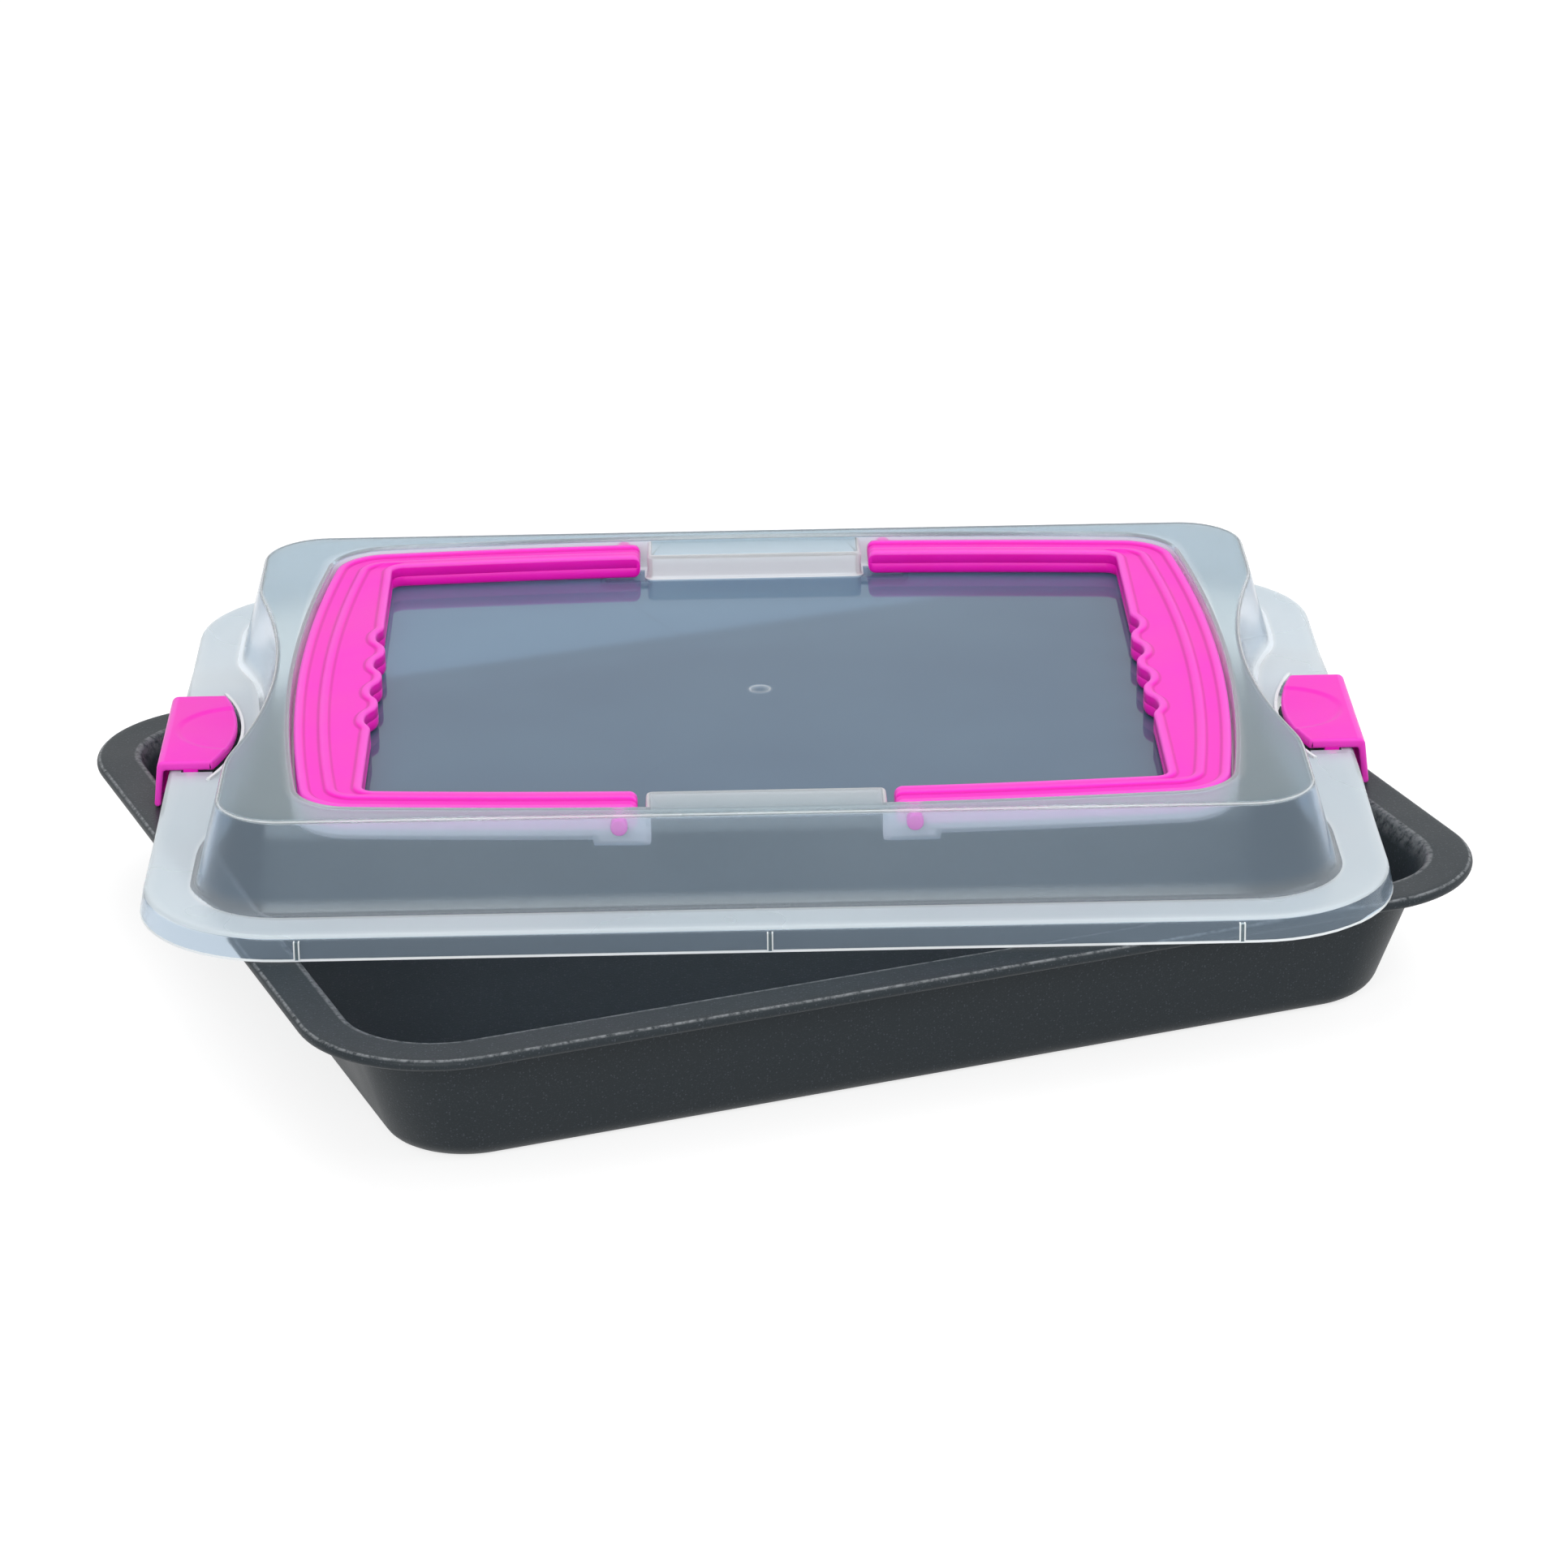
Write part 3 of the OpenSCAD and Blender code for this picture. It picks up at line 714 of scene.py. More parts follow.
@dataclass
class Pan:
    """The coated steel pan with its flat rim and rolled edge. Sizes in millimetres."""

    length: float = 381.0
    width: float = 310.0
    height: float = 45.6
    sheet: float = 1.0
    corner: float = 43.5
    rim: float = 14.0
    bead: float = 3.6
    lean_x: float = 15.0
    lean_y: float = 12.4
    base_corner: float = 24.0
    bend: float = 9.0
    lip: float = 2.2
    turn_deg: float = 20.3
    end_steps: int = 14
    corner_steps: int = 22
    side_steps: int = 16
    sharp: float = 60.0
    # Angle and width on the bead of the painted highlight line.
    crest_deg: float = 62.0
    crest_width: float = 16.0
    BEND_DEG: ClassVar[tuple] = (0, 10, 20, 30, 40, 50, 60, 70)
    # Rings on the floor and on the wall, outside and inside.
    FLOOR_SHARES: ClassVar[tuple] = ((0.05, 0.35, 0.7), (0.9, 0.7, 0.4, 0.05))
    WALL_LEVELS: ClassVar[tuple] = ((14.0, 24.0, 34.0, 41.5), (40.0, 32.0, 23.0, 14.0))

    def outline(self, half_x: float, half_y: float, radius: float, z: float) -> Ring:
        """Rounded rectangle of the pan.

        Args:
            half_x: Half of its length.
            half_y: Half of its width.
            radius: Corner radius.
            z: Height.

        Returns:
            The loop of points.
        """
        mid_x, mid_y = half_x - radius, half_y - radius
        points = [(half_x, mid_y * i / self.end_steps, z) for i in range(self.end_steps)]
        points += [(*on_arc(mid_x, mid_y, radius, a), z)
                   for a in arc_steps(0, 90, self.corner_steps)[:-1]]
        points += [(mid_x * (1 - i / self.side_steps), half_y, z)
                   for i in range(self.side_steps + 1)]
        return mirrored_loop(points)

    def wall_ring(self, depth: float, angle: float | None, z: float = 0.0) -> Ring:
        """Ring on the wall or on the bend at its foot.

        Args:
            depth: Distance inside the outer surface.
            angle: Degrees along the bend, or None for the wall.
            z: Height on the wall.

        Returns:
            The loop of points.
        """
        lean = math.degrees(math.atan(self.lean_x / self.height))
        radius = self.bend - depth
        inset = depth
        if angle is not None:
            z = depth + radius * (1 - math.cos(math.radians(angle)))
            inset += radius * max(0.0, 1 - math.sin(math.radians(angle + lean)))
        share = z / self.height
        half_x = self.length / 2 - self.rim - self.lean_x * (1 - share) - inset
        half_y = self.width / 2 - self.rim - self.lean_y * (1 - share) - inset
        corner = mix(self.base_corner, self.corner - self.rim, share) - depth
        return self.outline(half_x, half_y, corner - (inset - depth) * 0.5, z)

    def rim_ring(self, inset: float, z: float) -> Ring:
        """Ring on the rim at a distance inside its outer edge."""
        half_x, half_y = self.length / 2 - inset, self.width / 2 - inset
        return self.outline(half_x, half_y, self.corner - inset, z)

    def skin(self) -> list[tuple[Ring, float]]:
        """Rings of the skin with their edge value, from the underside round the rim to the floor."""
        top, under, radius = self.height, self.height - self.sheet, self.bead / 2
        floors = [self.wall_ring(depth, 0) for depth in (0.0, self.sheet)]
        outside, inside = ([[(x * share, y * share, z) for x, y, z in floor] for share in shares]
                           for floor, shares in zip(floors, self.FLOOR_SHARES))
        outside += [self.wall_ring(0.0, angle) for angle in self.BEND_DEG]
        outside += [self.wall_ring(0.0, None, z) for z in (*self.WALL_LEVELS[0], under - 0.8)]
        outside += [self.rim_ring(self.rim - inset, under) for inset in (0.9, 5.0)]
        rings = [(ring, 0.0) for ring in outside]
        start = math.degrees(math.asin((radius - self.sheet) / radius))
        # Edge values on the bead's crest paint a highlight line in the coating.
        for angle in arc_steps(180 - start, 450 - 8, 20):
            place = (radius - radius * math.cos(angle), top - radius + radius * math.sin(angle))
            off_crest = abs(math.degrees(angle) - 360 - self.crest_deg) / self.crest_width
            rings.append((self.rim_ring(*place), max(0.0, 1 - off_crest)))
        inner = self.rim + self.sheet
        rings += [(self.rim_ring(inset, top), 0.0)
                  for inset in (self.bead, self.rim * 0.6, inner - self.lip - 0.6)]
        # Edge value 0.4 paints a fine highlight line along the rim's inner lip.
        rings += [(self.rim_ring(*on_arc(inner - self.lip, top - self.lip, self.lip, angle)), 0.4)
                  for angle in arc_steps(90, 8, 5)]
        inside = [self.wall_ring(self.sheet, angle) for angle in self.BEND_DEG[::-1]] + inside
        inside = [self.wall_ring(self.sheet, None, z) for z in self.WALL_LEVELS[1]] + inside
        return rings + [(ring, 0.0) for ring in inside]

    def build(self) -> bpy.types.Object:
        """Makes the pan's mesh as one closed skin."""
        shape = Shape("cake_pan")
        rings = [shape.ring(ring, edge) for ring, edge in self.skin()]
        shape.loft(rings)
        shape.fan(rings[0])
        shape.fan(rings[-1])
        return shape.finish(Matrix.Rotation(math.radians(self.turn_deg), 4, "Z"), self.sharp)

    def make(self, coating: bpy.types.Material) -> None:
        """Builds and dresses the pan and ties it to the frame."""
        pan = self.build()
        dress(pan, coating)
        hand_over(pan, "base", "pan")


# ---- lid


@dataclass
class Lid:
    """The one-piece translucent lid. Sizes in millimetres from the middle of its lower edge."""

    place: Place = LID_PLACE
    wall: float = 1.6
    half_x: float = 193.0
    half_y: float = 157.5
    corner: float = 46.0
    skirt: float = 7.7
    skirt_draft: float = 1.6
    edge_radius: float = 1.8
    painted_lit: float = 17.3
    dome: float = 27.7
    dome_lean: float = 7.7
    dome_edge: float = 2.0
    foot_radius: float = 2.0
    scallop_radius: float = 290.0
    scallop_depth: float = 10.4
    scallop_draft: float = 6.0
    scallop_blend: float = 0.8
    stage: float = 4.7
    stage_flat: float = 38.0
    stage_foot: float = 83.0
    lit_recess_half_x: float = 151.0
    lit_recess_half_y: float = 126.0
    lit_recess_corner: float = 19.0
    end_bow: float = 800.0
    side_bow: float = 1500.0
    lit_recess_depth: float = 9.6
    lit_recess_edge: float = 1.1
    boss_half: float = 36.8
    boss_front: float = 109.6
    boss_corner: float = 2.0
    boss_edge: float = 1.2
    boss_drop: float = 1.4
    floor_radius: float = 1.0
    well_half_x: float = 51.25
    well_inner_x: float = 44.0
    well_y: float = 108.2
    well_drop: float = 2.0
    well_slack: float = 0.2
    well_step: float = 0.9
    boss_side_run: float = 4.0
    boss_corner_run: float = 1.0
    gate_radius: float = 3.5
    gate_reach: float = 14.0
    gate_depth: float = 0.4
    least_radius: float = 0.2
    least_edge: float = 0.15
    rib_count: int = 3
    rib_width: float = 1.9
    rib_line: float = 0.45
    rib_line_out: float = 0.12
    rib_foot: float = 0.5
    rib_x: float = 142.0
    rib_out: float = 0.2
    window_x: float = 169.6
    window_radius: float = 95.0
    window_half: float = 33.5
    window_jog: float = 176.38
    window_flank: float = 31.0
    window_far: float = 186.5
    lip_half: float = 38.5
    lip_width: float = 1.0
    slot_near: float = 189.8
    slot_far: float = 196.2
    slot_half: float = 18.7
    worn_x: float = 184.0
    worn_y: float = -132.0
    worn_reach: float = 24.0
    worn_bite: float = 0.8
    sharp: float = 50.0
    counts: dict[str, int] = field(default_factory=lambda: {
        "end": 34, "corner": 14, "side": 18, "well": 5, "boss_side": 5, "boss_corner": 4,
        "front": 10})

    @property
    def top(self) -> float:
        """Height of the dome's top."""
        return self.skirt + self.dome

    @property
    def floor(self) -> float:
        """Height of the recess floor."""
        return self.top - self.lit_recess_depth

    def columns(self) -> list[Column]:
        """Columns of a quarter, from the +X axis to the +Y axis."""
        made = [Column(part, i / count) for part, count in self.counts.items()
                for i in range(count)]
        return made + [Column("front", 1.0)]

    def ring(self, at: Callable[[Column], Place]) -> Ring:
        """Whole ring, from the place of each column of a quarter."""
        return mirrored_loop([at(column) for column in self.columns()])

    def side_x(self, column: Column, start: float, depth: float, boss_x: float) -> float:
        """X of a column on a long side.

        Args:
            column: The column.
            start: X where the corner ends.
            depth: Distance inside the lid's outer skin.
            boss_x: X where the boss begins on this outline.

        Returns:
            The column's X.
        """
        edge = self.well_half_x + depth
        turn = boss_x - self.boss_side_run
        front = turn - self.boss_corner_run
        spans = {"side": (start, edge + self.well_slack), "well": (edge - self.well_slack, boss_x),
                 "boss_side": (boss_x, turn), "boss_corner": (turn, front), "front": (front, 0.0)}
        share = column.share
        if column.part == "side":
            share *= self.counts["side"] / (self.counts["side"] - 1)
        return mix(*spans[column.part], min(1.0, share))

    def straight_point(self, column: Column, half_x: float, half_y: float, radius: float) -> Point:
        """Point of a plain rounded rectangle in one column."""
        if column.part == "end":
            return (half_x, (half_y - radius) * column.share)
        if column.part == "corner":
            return on_arc(half_x - radius, half_y - radius, radius, math.radians(90 * column.share))
        boss_x = self.boss_half - self.boss_edge
        return (self.side_x(column, half_x - radius, 0.0, boss_x), half_y)

    def skirt_point(self, column: Column, out: float) -> Point:
        """Point at a distance outside the outline of the skirt's lower edge."""
        return self.straight_point(column, self.half_x + out, self.half_y + out, self.corner + out)

    def painted_lit_height(self, y: float) -> float:
        """Height of the flange's upper face, with the rise under the clips."""
        share = (self.stage_foot - abs(y)) / (self.stage_foot - self.stage_flat)
        return self.skirt + self.stage * ease(share)

    def dome_point(self, column: Column, z: float, out: float) -> Point:
        """Point of the dome's wall in one column.

        Args:
            column: The column.
            z: Height above the flange.
            out: Distance outside the wall.

        Returns:
            X and Y of the point.
        """
        lean = self.dome_lean * z / self.dome
        inset = self.painted_lit + lean - out
        x, y = self.straight_point(column, self.half_x - inset, self.half_y - inset,
                                   self.corner - inset)
        if column.part in ("end", "corner"):
            middle = (self.half_x - self.painted_lit - self.dome_lean - self.scallop_depth
                      + self.scallop_radius)
            radius = self.scallop_radius - self.scallop_draft * (1 - z / self.dome) - out
            x = soft_min(x, middle - math.sqrt(radius * radius - y * y), self.scallop_blend)
        return (x, y)

    def lit_recess_point(self, column: Column, inset: float, depth: float, boss_x: float) -> Point:
        """Point of the recess's outline in one column.

        Args:
            column: The column.
            inset: Distance inside the recess.
            depth: Distance inside the lid's outer skin.
            boss_x: X where the boss begins.

        Returns:
            X and Y of the point.
        """
        end, side = self.end_bow - inset, self.side_bow - inset
        radius = self.lit_recess_corner - inset
        half_x, half_y = self.lit_recess_half_x - inset, self.lit_recess_half_y - inset
        cx, cy = bowed_corner(half_x, half_y, end, side, radius)
        ax, by = half_x - end, half_y - side
        start, stop = math.atan2(cy, cx - ax), math.atan2(cy - by, cx)
        if column.part == "end":
            return on_arc(ax, 0.0, end, start * column.share)
        if column.part == "corner":
            return on_arc(cx, cy, radius, mix(start, stop, column.share))
        x = self.side_x(column, cx + radius * math.cos(stop), depth, boss_x)
        return (x, by + math.sqrt(side * side - x * x))

    def notch_point(self, column: Column, inset: float, boss_inset: float, depth: float) -> Point:
        """Point of the recess's outline with its bosses.

        Args:
            column: The column.
            inset: Distance inside the recess, from its walls.
            boss_inset: Distance inside the recess, from the bosses.
            depth: Distance inside the lid's outer skin.

        Returns:
            X and Y of the point.
        """
        x0 = self.boss_half + boss_inset
        front = self.boss_front - boss_inset
        radius = max(self.boss_corner + boss_inset, self.least_radius)
        if column.part == "boss_side":
            top = self.lit_recess_point(Column("boss_side", 0.0), inset, depth, x0)[1]
            return (x0, mix(top, front + radius, column.share))
        if column.part == "boss_corner":
            return on_arc(x0 - radius, front + radius, radius, -math.radians(90 * column.share))
        if column.part == "front":
            return (mix(x0 - radius, 0.0, column.share), front)
        return self.lit_recess_point(column, inset, depth, x0)

    def inner_point(self, column: Column, y: float, depth: float) -> Point:
        """Point of the line on the recess floor that the wells reach to."""
        if column.part in ("end", "corner", "side"):
            inset = self.lit_recess_half_y - self.well_y - self.well_step
            return self.lit_recess_point(column, inset, depth, self.boss_half)
        edge, well = self.boss_half - depth, self.well_inner_x
        spans = {"well": (self.well_half_x + depth - self.well_slack, well),
                 "boss_side": (well, edge + 0.4),
                 "boss_corner": (edge - 0.1, edge - 1.0), "front": (edge - 1.2, 0.0)}
        share, steps = column.share, self.counts[column.part]
        if column.part == "boss_side":
            share = min(1.0, share * steps / (steps - 1))
        return (mix(*spans[column.part], share), y)

    def drop(self, column: Column) -> float:
        """How far a column's floor lies below the recess floor."""
        return self.well_drop if column.part in ("well", "boss_side") else 0.0

    def skirt_lines(self, depth: float) -> list[Line]:
        """Lines of the skirt's wall and of the rounded edge between it and the flange."""
        slope = self.skirt_draft / self.skirt
        theta = math.atan(slope)
        radius = max(self.edge_radius - depth, self.least_radius)
        rounded = radius * (1 - math.sin(theta))

        def high(column: Column) -> float:
            """Height of the flange over a column."""
            return self.painted_lit_height(self.skirt_point(column, 0.0)[1]) - depth

        def wall(column: Column, rise: float) -> Place:
            """Point on the wall, at a share of its height."""
            z = (high(column) - rounded) * rise
            return (*self.skirt_point(column, -depth - slope * z), z)

        def edge(column: Column, turn: float) -> Place:
            """Point on the rounded edge, at an angle in radians."""
            top, out = high(column), -rounded / math.cos(theta) + radius * math.cos(turn)
            return (*self.skirt_point(column, -depth - slope * top + out),
                    top - radius + radius * math.sin(turn))

        # The lowest strip of the skirt takes the near-white copy: a painted highlight along the
        # lower edge.
        lines = [(self.ring(lambda column: wall(column, 0.0)), 0.7, Plastic.BRIGHT)]
        for rise in (0.12, 0.5, 0.88, 1.0):
            lines.append((self.ring(lambda column: wall(column, rise)), 0.0, Plastic.WALL))
        # The rounded edge into the flange takes the lighter copy that paints light from above.
        for turn in arc_steps(math.degrees(theta), 90, 4)[1:]:
            lines.append((self.ring(lambda column: edge(column, turn)), 0.25, Plastic.PAINTED_LIT))
        return lines

    def dome_lines(self, depth: float, start: Ring) -> list[Line]:
        """Lines of the flange, the dome's foot, its wall and the rounded edge of its top.

        Args:
            depth: Distance inside the outer skin.
            start: Last ring of the skirt's edge.

        Returns:
            The lines from the flange's outer side to the dome's top.
        """
        tilt = math.atan(self.dome_lean / self.dome)
        slant = (1 - math.sin(tilt)) / math.cos(tilt)

        def arc_place(column: Column, radius: float, turn: float, level: float) -> Place:
            """Point on an arc between the wall and a level, under the level for radius < 0."""
            out = radius * slant + abs(radius) * math.cos(turn)
            rise = radius + abs(radius) * math.sin(turn)
            out += -depth / math.cos(tilt) + rise * math.tan(tilt)
            return (*self.dome_point(column, level + rise - self.skirt, out), level + rise)

        def deck(column: Column) -> float:
            """Height of the flange at the dome's foot."""
            return self.painted_lit_height(self.dome_point(column, 0.0, 0.0)[1]) - depth

        foot = self.foot_radius + depth
        crest = -max(self.dome_edge - depth, self.least_radius)
        feet = [self.ring(lambda column: arc_place(column, foot, turn, deck(column)))
                for turn in arc_steps(270, 180 + math.degrees(tilt), 5)]
        crests = [self.ring(lambda column: arc_place(column, crest, turn, self.top - depth))
                  for turn in arc_steps(math.degrees(tilt), 90, 5)]
        # The middle strip of the dome's top edge takes the lighter copy and high edge values: a
        # painted highlight line.
        glint = Plastic.PAINTED_LIT if depth == 0 else Plastic.INNER
        shine = (Plastic.WALL, Plastic.FROSTED, glint) + (Plastic.FROSTED,) * 3
        # The flange takes the lighter copy that paints the light falling on it from above.
        lines = blended(start, feet[0], (0.2, 0.45, 0.7, 0.9), Plastic.PAINTED_LIT)
        # The dome's foot carries edge value 0.6: a painted highlight along it.
        lines += [(ring, 0.6, Plastic.WALL) for ring in feet]
        lines += blended(feet[-1], crests[0], (0.15, 0.3, 0.45, 0.6, 0.8), Plastic.WALL)
        return lines + list(zip(crests, (0.0, 0.2, 0.9, 0.9, 0.2, 0.0), shine))

    def lit_recess_lines(self, depth: float, start: Ring) -> list[Line]:
        """Lines of the dome's top, the recess's edge, its bosses and its walls.

        Args:
            depth: Distance inside the outer skin.
            start: Last ring of the dome's rounded edge.

        Returns:
            The lines from the top to the recess floor.
        """
        edge = max(self.lit_recess_edge - depth, self.least_edge)
        boss_edge = max(self.boss_edge - depth, self.least_edge)
        boss_x = self.boss_half - depth - boss_edge
        boss_top = self.top - self.boss_drop - depth

        def plain(inset: float, z: float) -> Ring:
            """Ring on the recess's outline without its bosses."""
            return self.ring(lambda column: (*self.lit_recess_point(column, inset, depth, boss_x), z))

        def notch(inset: float, boss_inset: float, z: float, low: float = 0.0) -> Ring:
            """Ring on the recess's outline with its bosses, lowered by low at the wells."""
            return self.ring(lambda column: (*self.notch_point(column, inset, boss_inset, depth),
                                             z - low * self.drop(column)))

        # Edge value 0.5 on the recess's rounded edge paints a highlight.
        edges = [plain(*on_arc(-depth - edge, self.top - depth - edge, edge, turn))
                 for turn in arc_steps(90, 0, 4)]
        lines = blended(start, edges[0], (0.3, 0.6, 0.85), Plastic.FROSTED)
        lines += [(ring, 0.5, Plastic.FROSTED) for ring in edges]
        lines.append((plain(-depth, boss_top), 0.0, Plastic.FROSTED))
        # The boss edges, the recess walls and the hollow take the lighter recess copy, painted light
        # that lifts their shade; their edge values paint highlights.
        for turn in arc_steps(90, 0, 4):
            around = on_arc(-depth - boss_edge, boss_top - boss_edge, boss_edge, turn)
            lines.append((notch(-depth, *around), 0.5, Plastic.LIT_RECESS))
        hollow = self.floor_radius + depth
        level = self.floor - depth + hollow
        for share in (0.35, 0.7, 1.0):
            z = mix(boss_top - boss_edge, level, share)
            lines.append((notch(-depth, -depth, z, share), 0.0, Plastic.LIT_RECESS))
        for turn in arc_steps(180, 270, 4)[1:]:
            inset, z = on_arc(-depth + hollow, level, hollow, turn)
            lines.append((notch(inset, inset, z, 1.0), 0.2, Plastic.LIT_RECESS))
        lines[-1] = (lines[-1][0], 0.2, Plastic.CLEAR)
        return lines

    def floor_lines(self, depth: float) -> list[Line]:
        """Lines of the clear recess floor, its wells and the gate mark in its middle."""
        floor = self.floor - depth
        lines: list[Line] = []
        for shift, low in ((0.1, 1.0), (-0.1, 0.0)):
            y = self.well_y - depth + shift
            ring = self.ring(lambda column: (*self.inner_point(column, y, depth),
                                             floor - low * self.drop(column)))
            lines.append((ring, 0.0, Plastic.CLEAR))
        rim, wide = lines[-1][0], self.gate_reach
        circle = [(wide * x / math.hypot(x, y), wide * y / math.hypot(x, y), z) for x, y, z in rim]
        lines += blended(rim, circle, (0.12, 0.3, 0.5, 0.7, 0.86, 1.0), Plastic.CLEAR)
        sunk = self.gate_depth if depth == 0 else 0.0
        # The gate mark's rings: share of its radius, share of its depth, edge value (which paints a
        # highlight round the dimple's rim).
        for radius, share, mark in ((1.25, 0, 0), (1.04, 0, 0.3), (0.98, 0.25, 1), (0.9, 0.8, 1),
                                    (0.8, 1, 0.3), (0.3, 0.9, 0)):
            scale = radius * self.gate_radius / wide
            ring = [(x * scale, y * scale, z - sunk * share) for x, y, z in circle]
            lines.append((ring, float(mark), Plastic.CLEAR))
        return lines

    def skin(self, depth: float) -> list[Line]:
        """Lines of the lid's outer skin, or of a skin inside it.

        Args:
            depth: Distance inside the outer skin.

        Returns:
            The rings from the skirt's lower edge to the floor's middle, each with its edge value
            and the finish of the strip that follows it.
        """
        lines = self.skirt_lines(depth)
        lines += self.dome_lines(depth, lines[-1][0])
        lines += self.lit_recess_lines(depth, lines[-1][0])
        lines += self.floor_lines(depth)
        if depth > 0:
            hidden = (Plastic.FROSTED, Plastic.WALL, Plastic.BRIGHT)
            lines = [(ring, edge, Plastic.INNER if finish in hidden else finish)
                     for ring, edge, finish in lines]
        return [(self.worn_edge(lines[0][0]), *lines[0][1:])] + lines[1:]

    def worn_edge(self, ring: Ring) -> Ring:
        """Nibbles the skirt's lower edge near its right front corner."""
        made = []
        for x, y, z in ring:
            near = max(0.0, 1 - math.hypot(x - self.worn_x, y - self.worn_y) / self.worn_reach)
            bite = math.sin(x * 2.9 + y * 1.7) * math.sin(x * 1.3 - y * 3.1)
            made.append((x, y, z + self.worn_bite * near * max(0.0, bite)))
        return made

    def window_arc(self, radius: float, reach: float, steps: int) -> list[Point]:
        """Arc round the middle of the right window's inner end, from -Y to +Y.

        Args:
            radius: Radius of the arc.
            reach: Angle to each side, in radians.
            steps: Number of steps to each side.

        Returns:
            The points.
        """
        middle = self.window_x + self.window_radius
        turns = [reach * i / steps for i in range(-steps, steps + 1)]
        return [(middle - radius * math.cos(t), radius * math.sin(t)) for t in turns]

    def window_outline(self, grow: float) -> list[Point]:
        """Outline of the right clip's window, grown by a distance."""
        reach = math.asin(self.window_half / self.window_radius)
        points = self.window_arc(self.window_radius + grow, reach, 10)
        jog, far = self.window_jog + grow, self.window_far + grow
        half, flank = self.window_half + grow, self.window_flank + grow
        points[0], points[-1] = (points[0][0], -half), (points[-1][0], half)
        return points + [(jog, half), (jog, flank), (far, flank), (far, -flank), (jog, -flank),
                         (jog, -half)]

    def lip_outline(self) -> list[Point]:
        """Outline of the lip round the right window's inner end."""
        near, far = (self.window_arc(radius, math.asin(self.lip_half / radius), 14)
                     for radius in (self.window_radius, self.window_radius + self.lip_width))
        return near + far[::-1]

    def slot_outline(self) -> list[Point]:
        """Outline of the slot for the right clip's hook."""
        near, far, half = self.slot_near, self.slot_far, self.slot_half
        return [(near, -half), (far, -half), (far, half), (near, half)]

    def rib_tree(self) -> bpy.types.NodeTree:
        """Builds the geometry nodes that set upright ribs along both long sides of the skirt."""
        tree = bpy.data.node_groups.new("skirt ribs", "GeometryNodeTree")
        add_inputs(tree, {
            "Count": ("NodeSocketInt", 3), "Pitch": ("NodeSocketFloat", 0.142),
            "Bars": ("NodeSocketInt", 1), "Bar Gap": ("NodeSocketFloat", 0.0015),
            "Rib Size": ("NodeSocketVector", (0.0019, 0.0018, 0.0054)),
            "Half Width": ("NodeSocketFloat", 0.1575), "Height": ("NodeSocketFloat", 0.0032),
            "Plastic": ("NodeSocketMaterial", None)})
        tree.interface.new_socket("Geometry", in_out="OUTPUT", socket_type="NodeSocketGeometry")
        graph = Graph(tree)
        entry, leave = graph.node("NodeGroupInput").outputs, graph.node("NodeGroupOutput")
        rib = graph.node("GeometryNodeMeshCube", {"Size": entry["Rib Size"]})

        def row(count: str, pitch: str) -> tuple:
            """First X and step of a row that is centred on X = 0."""
            less = graph.math("SUBTRACT", entry[count], 1.0)
            half = graph.times(graph.times(less, entry[pitch]), -0.5)
            return half, graph.node("ShaderNodeCombineXYZ", {0: entry[pitch]}).outputs[0]

        def spots(count: str, place: bpy.types.Node, step: object) -> bpy.types.NodeSocket:
            """Points of a row."""
            inputs = {"Count": entry[count], "Start Location": place.outputs[0], "Offset": step}
            return graph.node("GeometryNodeMeshLine", inputs).outputs[0]

        def copies(points: object, shape: bpy.types.Node) -> bpy.types.Node:
            """Copies of a shape on points."""
            return graph.node("GeometryNodeInstanceOnPoints", {
                "Points": points, "Instance": shape.outputs[0]})

        first, shift = row("Bars", "Bar Gap")
        place = graph.node("ShaderNodeCombineXYZ", {0: first})
        bars = copies(spots("Bars", place, shift), rib)
        half, step = row("Count", "Pitch")
        rows = graph.node("GeometryNodeJoinGeometry")
        for sign in (1.0, -1.0):
            across = graph.times(entry["Half Width"], sign)
            start = graph.node("ShaderNodeCombineXYZ", {0: half, 1: across, 2: entry["Height"]})
            tree.links.new(spots("Count", start, step), rows.inputs[0])
        ribs = copies(rows.outputs[0], bars)
        real = graph.node("GeometryNodeRealizeInstances", {0: ribs.outputs[0]})
        dressed = graph.node("GeometryNodeSetMaterial", {"Geometry": real.outputs[0],
                                                         "Material": entry["Plastic"]})
        tree.links.new(dressed.outputs[0], leave.inputs[0])
        return tree

    def ribs(self, tree: bpy.types.NodeTree, plastic: bpy.types.Material, bars: int, width: float,
             out: float) -> bpy.types.Object:
        """Makes the ribs, or the raised lines along their sides, as a plain mesh.

        Args:
            tree: Geometry nodes of the ribs.
            plastic: Material of the ribs.
            bars: Number of bars at each rib.
            width: Width of one bar.
            out: Distance that a bar stands out of the skirt.

        Returns:
            The object at the lid's place, ready to be joined to the lid.
        """
        obj = bpy.data.objects.new("skirt_ribs", bpy.data.meshes.new("skirt_ribs"))
        bpy.context.scene.collection.objects.link(obj)
        modifier = obj.modifiers.new("ribs", "NODES")
        modifier.node_group = tree
        deep = self.wall + out
        low, high = self.rib_foot, self.skirt - self.edge_radius + out
        values = {"Count": self.rib_count, "Pitch": self.rib_x * MM, "Bars": bars,
                  "Bar Gap": (self.rib_width - width) * MM,
                  "Rib Size": (width * MM, deep * MM, (high - low) * MM),
                  "Half Width": (self.half_y - self.wall + deep / 2) * MM,
                  "Height": (low + high) / 2 * MM, "Plastic": plastic}
        for item in tree.interface.items_tree:
            if item.in_out == "INPUT":
                modifier[item.identifier] = values[item.name]
        apply_modifiers(obj)
        obj.data.transform(shifted(self.place))
        return obj

